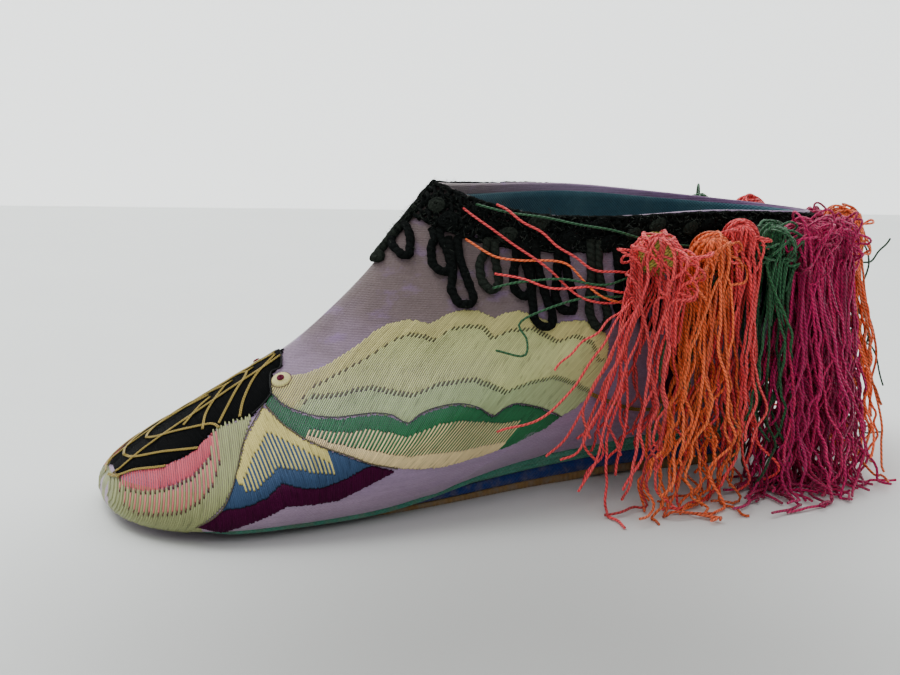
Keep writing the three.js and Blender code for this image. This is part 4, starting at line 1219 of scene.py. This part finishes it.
HEEL_CURLS = [
    [(152, 3, 42), (156, 5, 38), (163, 5, 38), (166, 5, 40), (169, 5, 43)],
    [(152, 2, 42), (158, 1, 38), (163, 0, 30), (169, 0, 23), (167, 0, 13), (164, 0, 9)],
    [(152, 4, 41), (155, 5, 32), (160, 5, 21), (166, 5, 19), (170, 5, 10)],
    [(151, 0, 42), (158, -3, 34), (162, -4, 26), (160, -5, 18), (164, -6, 12)],
    [(151, 3, 40), (157, 4, 29), (159, 4, 22), (164, 3, 25), (167, 3, 19), (164, 3, 14)],
    [(150, 6, 43), (157, 8, 44), (161, 8, 38), (158, 8, 31), (161, 8, 24), (160, 8, 16)],
    [(150, 2, 40), (158, 2, 33), (164, 1, 27), (168, 1, 24), (166, 1, 20), (162, 1, 24), (164, 1, 29)],
    [(151, 4, 38), (156, 7, 24), (158, 8, 10), (161, 9, 1.5), (167, 9, 0.6)],
    [(151, 1, 38), (155, 3, 22), (159, 5, 8), (162, 5, 1.5), (168, 4, 0.6)],
]


DOWN = np.array([0, 0, -1.0])


def clear_of_shoe(path, clearance):
    """Moves the points of hanging cords out sideways, so that they rest on the shoe."""
    for _ in range(2):
        side = np.where(path[..., 1] >= 0, 1.0, -1.0)
        behind = TOE_AHEAD - path[..., 0]
        low = sole_top(behind) + GAP + 0.2
        height = np.clip(path[..., 2], low, 60)
        along, up = find_place(side, behind, height)
        at = last_point(side, along, up)
        near = (np.abs(at[..., 0] - path[..., 0]) < 0.6) & (np.abs(at[..., 2] - height) < 0.8)
        wanted = np.abs(at[..., 1]) + clearance
        short = np.where(near, np.maximum(wanted - np.abs(path[..., 1]), 0), 0)
        soft = short.copy()
        for _ in range(3):
            soft[..., 1:-1] = np.maximum(soft[..., 1:-1], (soft[..., :-2] + soft[..., 2:]) / 2)
        path[..., 1] += side * soft
    return path


def tassel_cord(centre, radius, way, turn, splay, sweep, spread, length, steps=54):
    """One cord: over the head, down at the shoe's side, and along the floor when it is long."""
    ahead = np.array([way[1], -way[0], 0]) * (1 if way[1] >= 0 else -1)
    out = way * math.cos(turn) + ahead * math.sin(turn)
    drop = centre[2]
    wide = RANDOM.uniform(0.25, 1.0)
    reach = splay * RANDOM.uniform(0.15, 1.0)
    drift = sweep * RANDOM.uniform(0.1, 1.1) + RANDOM.normal(0, 0.8)
    tilt = unit(way * 0.55 - DOWN + ahead * 0.1)
    loose = RANDOM.uniform(0.92, 1.15)
    places = [
        centre + out * radius * 0.1 + tilt * radius * 0.9,
        centre + out * radius * 0.66 * loose + tilt * radius * 0.62,
        centre + out * radius * loose + RANDOM.normal(0, 0.25, 3),
        centre + out * radius * 1.02 * loose + DOWN * radius * 0.9 + RANDOM.normal(0, 0.45, 3),
        centre + out * radius * 1.08 * loose + DOWN * radius * 1.9 + RANDOM.normal(0, 0.7, 3),
    ]
    twist = RANDOM.normal(0, 0.9)
    for share in (0.42, 0.66, 0.86, 1.0):
        out = way * math.cos(turn + twist * share) + ahead * math.sin(turn + twist * share)
        side_way = out * (radius * 0.9 + spread * wide * share) + way * reach * share
        side_way = side_way + ahead * drift * share ** 1.3
        kink = RANDOM.normal(0, 1.7 * share, 3) * [1, 1, 0.3]
        places.append(centre + side_way + kink + DOWN * drop * share * 0.985)
    last = places[-1]
    heading = way * RANDOM.uniform(0.3, 1.4) * (splay > 3) + ahead * RANDOM.normal(0.0, 0.9)
    heading = unit(heading + ahead * sweep * 0.08)
    bend = RANDOM.normal(0, 0.6)
    for step in (3.0, 7.0, 11.0):
        swerve = np.array([-heading[1], heading[0], 0]) * bend * step * 0.35
        places.append(last + heading * step + swerve + [0, 0, RANDOM.uniform(0, 0.5)])
    path = curve_through(np.array(places), 260)
    lengths = np.concatenate([[0], np.cumsum(np.linalg.norm(np.diff(path, axis=0), axis=1))])
    whole = drop + radius * 1.6 + (length - 1) * drop
    at = np.linspace(0, min(whole, lengths[-1]), steps)
    path = np.stack([np.interp(at, lengths, path[:, k]) for k in range(3)], -1)
    growth = smooth_run(at, radius * 2, drop)[:, None]
    for wave, size in ((RANDOM.uniform(10, 19), 1.1), (RANDOM.uniform(4, 8), 0.4)):
        sway = unit(RANDOM.normal(0, 1, 3) * [1, 1, 0.15])
        phase = RANDOM.uniform(0, 6.3)
        path = path + sway * np.sin(at * 2 * math.pi / wave + phase)[:, None] * size * growth
    return path


def make_tassels():
    twist = (1.15, 2, 0.5, 0.42, 1.2, 0.13)
    materials = {name: twisted(f"{name}_silk", *twist, Sheen_Weight=0.1) for name in SILKS}
    for node, side, along, colour, size, cords, splay, sweep, spread, lying in TASSELS:
        radius = TASSEL_HEAD_RADIUS * size
        way = outward_way(side, along)
        centre = head_centre(node, radius)
        tassel = Tubes()
        base = np.array(SILKS[colour])
        paths, tints = [], []
        for k in range(cords):
            turn = 2 * math.pi * (k + RANDOM.uniform(-0.4, 0.4)) / cords
            length = RANDOM.uniform(0.72, 1.02) if RANDOM.uniform() > lying else RANDOM.uniform(1.0, 1.32)
            paths.append(tassel_cord(centre, radius, way, turn, splay, sweep, spread, length))
            tints.append(base * RANDOM.uniform(0.62, 1.25) * (1 + RANDOM.normal(0, 0.06, 3)))
        paths = clear_of_shoe(np.array(paths), 0.8 + RANDOM.uniform(0, 2.4, (cords, 1)))
        paths[..., 2] = np.maximum(paths[..., 2], CORD_RADIUS + RANDOM.uniform(0, 0.5, (cords, 1)))
        past = np.maximum(np.abs(paths[..., 1]) - SPREAD_LIMIT, 0)
        paths[..., 1] -= np.sign(paths[..., 1]) * past * DRAWN_BACK
        tassel.add(paths, CORD_RADIUS, np.array(tints), 5)
        for stray in STRAYS.get(node, []):
            add_stray(tassel, centre, radius, stray, base)
        for k in range(LOOSE_LOOPS.get(node, 4)):
            add_loose_loop(tassel, centre, radius, way, base)
        if node == "tassel_8_magenta":
            for curl in HEEL_CURLS:
                add_stray(tassel, centre, radius, curl, np.array(MOSS) * 0.45)
        add_head(tassel, centre, radius, base, node == "tassel_1_coral")
        tassel.piece(node + "_cords", materials[colour], f"{colour}_silk", [node])


def outward_way(side, along):
    if side == 0:
        return np.array([-1.0, 0, 0])
    ahead = last_point(side, np.array(along - 0.01), np.array(1.0))
    here = last_point(side, np.array(along), np.array(1.0))
    run = unit((here - ahead)[:2])
    return np.array([run[1] * side, -run[0] * side, 0])


def head_centre(node, radius):
    """The middle of the head, from the highest point of the same tassel in the construction."""
    mesh = bpy.data.objects[frame_name(node)].data
    points = np.array([v.co for v in mesh.vertices]) / MM
    top = points[np.argmax(points[:, 2])]
    return top - [0, 0, radius]


def frame_name(node):
    names = [o.name for o in bpy.data.objects if o.name == node or o.name.endswith(node)]
    return names[0]


def add_stray(tassel, centre, radius, places, tint):
    """A cord given point by point: on the skin through side view places, or free through places with a width
    too.
    """
    places = np.array(places, float)
    if places.shape[1] == 2:
        skin, normal = side_surface(1, places[:, 0], places[:, 1])
        points = skin + normal * RANDOM.uniform(1.9, 2.6)
    else:
        points = np.stack([TOE_AHEAD - places[:, 0], places[:, 1], places[:, 2]], -1)
    points = np.vstack([centre + unit(points[0] - centre) * radius * 0.9, points])
    path = curve_through(points, 72)
    at = np.linspace(0, 1, len(path))[:, None]
    sway = unit(RANDOM.normal(0, 1, 3))
    path = path + sway * np.sin(at * 26 + RANDOM.uniform(0, 6)) * 0.25
    shade = RANDOM.uniform(0.8, 1.15)
    tassel.add(clear_of_shoe(path[None], 1.6), CORD_RADIUS * 0.85, tint * shade)


def add_loose_loop(tassel, centre, radius, way, tint):
    """A cord that has come loose at the head and stands off in a loop."""
    ahead = np.array([-way[1], way[0], 0])
    out = way * RANDOM.uniform(0.2, 1.1) + ahead * RANDOM.normal(0, 1)
    out = unit(out + [0, 0, RANDOM.uniform(-0.9, 0.75)])
    off = unit(np.cross(out, RANDOM.normal(0, 1, 3)))
    far, wide = radius * RANDOM.uniform(1.5, 2.3), RANDOM.uniform(1.2, 3.2)
    places = [
        centre + out * radius * 0.6 - off * 0.8,
        centre + out * radius * 1.25 - off * wide * 0.7,
        centre + out * far - off * wide * 0.4 + DOWN * 0.8,
        centre + out * far * 1.02 + off * wide * 0.5 + DOWN * 2,
        centre + out * radius * 1.2 + off * wide + DOWN * RANDOM.uniform(3, 7),
        centre + out * radius * 1.1 + off * wide * 0.6 + DOWN * RANDOM.uniform(9, 16),
    ]
    path = curve_through(np.array(places), 34)
    tassel.add(clear_of_shoe(path[None], 1.4), CORD_RADIUS * 0.95, tint * RANDOM.uniform(0.75, 1.2), 5)


def add_head(tassel, centre, radius, tint, bare):
    """The wound head: a core wound from bottom to top, and cords laid round it in rings that lie every way.
    """
    turn = np.linspace(0, 2 * math.pi * 13, 26 * 12)
    level = np.linspace(-0.97, 0.97, len(turn))
    ring = np.sqrt(np.maximum(1 - level ** 2, 0.02)) * (radius - 0.45)
    coil = centre + np.stack([ring * np.cos(turn), ring * np.sin(turn), level * (radius - 0.45)], -1)
    tassel.add(coil, 0.34, np.array(CORE) if bare else tint * 0.75, 5)
    for k in range(9 if bare else 6):
        turn = np.linspace(0, 2 * math.pi * 0.93, 32)
        a, b = [unit(RANDOM.normal(0, 1, 3)) for _ in range(2)]
        b = unit(np.cross(a, b))
        wide = radius * RANDOM.uniform(0.96, 1.12)
        ring = centre + wide * (a * np.cos(turn)[:, None] + b * np.sin(turn)[:, None])
        tassel.add(ring, CORD_RADIUS, tint * RANDOM.uniform(0.75, 1.15), 5)


# The pale ground, the light and the camera

CAMERA_PLACE = Vector((0.11228, 0.22447, 0.07407))
CAMERA_RIGHT = Vector((-0.91430, 0.40492, 0.01028))
CAMERA_UP = Vector((-0.06692, -0.17606, 0.98210))
CAMERA_AHEAD = Vector((-0.39948, -0.89724, -0.18807))
LENS = 52
FLOOR_FAR = 0.807
FLOOR_NEAR = 3.0
FLOOR_SIDE = 3.0
WALL_FOOT = 0.02
WALL_HEIGHT = 3
# painted shadow: the ground is painted darker round this spot, for a shadow that falls on it
PAINTED_SHADOW_SPOT = (40, 88, 0)  # where the ground is darkest, in millimetres


def sheet(name, corners, material):
    """A flat sheet with four corners, in metres."""
    mesh = bpy.data.meshes.new(name)
    mesh.from_pydata([tuple(corner) for corner in corners], [], [(0, 1, 2, 3)])
    mesh.materials.append(material)
    made = bpy.data.objects.new(name, mesh)
    bpy.context.scene.collection.objects.link(made)
    return made


def make_stage():
    ahead = Vector((CAMERA_AHEAD.x, CAMERA_AHEAD.y, 0)).normalized()
    across = Vector((-ahead.y, ahead.x, 0))
    middle = Vector((CAMERA_PLACE.x, CAMERA_PLACE.y, 0))
    far, wide = middle + ahead * FLOOR_FAR, across * FLOOR_SIDE
    near = middle - ahead * FLOOR_NEAR

    g = Graph("floor", 0.75)
    # painted shadow: the floor's colour darkens towards the shady spot
    away = g.add("VectorMath", {0: g.place(), 1: PAINTED_SHADOW_SPOT}, operation="DISTANCE").outputs["Value"]
    colour = g.mix(g.run(away, 10, 130), srgb(166, 166, 164), srgb(240, 243, 241))
    paper = g.finish(g.shade(colour, 0.98, 1.02, g.noise(0.012)))
    floor = sheet("floor", [near - wide, near + wide, far + wide, far - wide], paper)

    g = Graph("wall", 0.9, Emission_Color=(0.95, 0.985, 0.985, 1), Emission_Strength=1.3)
    paper = g.finish(g.shade(srgb(232, 232, 230), 0.98, 1.02, g.noise(0.002, 2)))
    foot, tall = far - Vector((0, 0, WALL_FOOT)), Vector((0, 0, WALL_HEIGHT))
    wall = sheet("wall", [foot - wide, foot + wide, foot + wide + tall, foot - wide + tall], paper)

    world = bpy.data.worlds.new("room")
    bpy.context.scene.world = world
    world.use_nodes = True
    background = world.node_tree.nodes["Background"].inputs
    background["Color"].default_value = (0.78, 0.79, 0.8, 1)
    background["Strength"].default_value = 0.6

    lights = (
        # name, place, aim, size, power
        ("window", (0.35, -0.35, 1.0), (0.05, -0.1, 0), 0.8, 8),
        ("room_light", (0.3, 0.7, 1.1), (0, 0, 0.02), 0.9, 3.4),
    )
    for name, place, aim, size, power in lights:
        lamp = bpy.data.lights.new(name, "AREA")
        lamp.size = size
        lamp.energy = power
        light = bpy.data.objects.new(name, lamp)
        light.location = place
        light.rotation_euler = (Vector(aim) - Vector(place)).to_track_quat("-Z", "Y").to_euler()
        bpy.context.scene.collection.objects.link(light)

    camera_data = bpy.data.cameras.new("camera")
    camera_data.lens = LENS
    camera = bpy.data.objects.new("camera", camera_data)
    turned = Matrix((CAMERA_RIGHT, CAMERA_UP, -CAMERA_AHEAD)).transposed().to_4x4()
    camera.matrix_world = Matrix.Translation(CAMERA_PLACE) @ turned
    bpy.context.scene.collection.objects.link(camera)
    bpy.context.scene.camera = camera


make_sole(make_upper())
make_embroidery()
make_collar()
make_tassels()
make_stage()
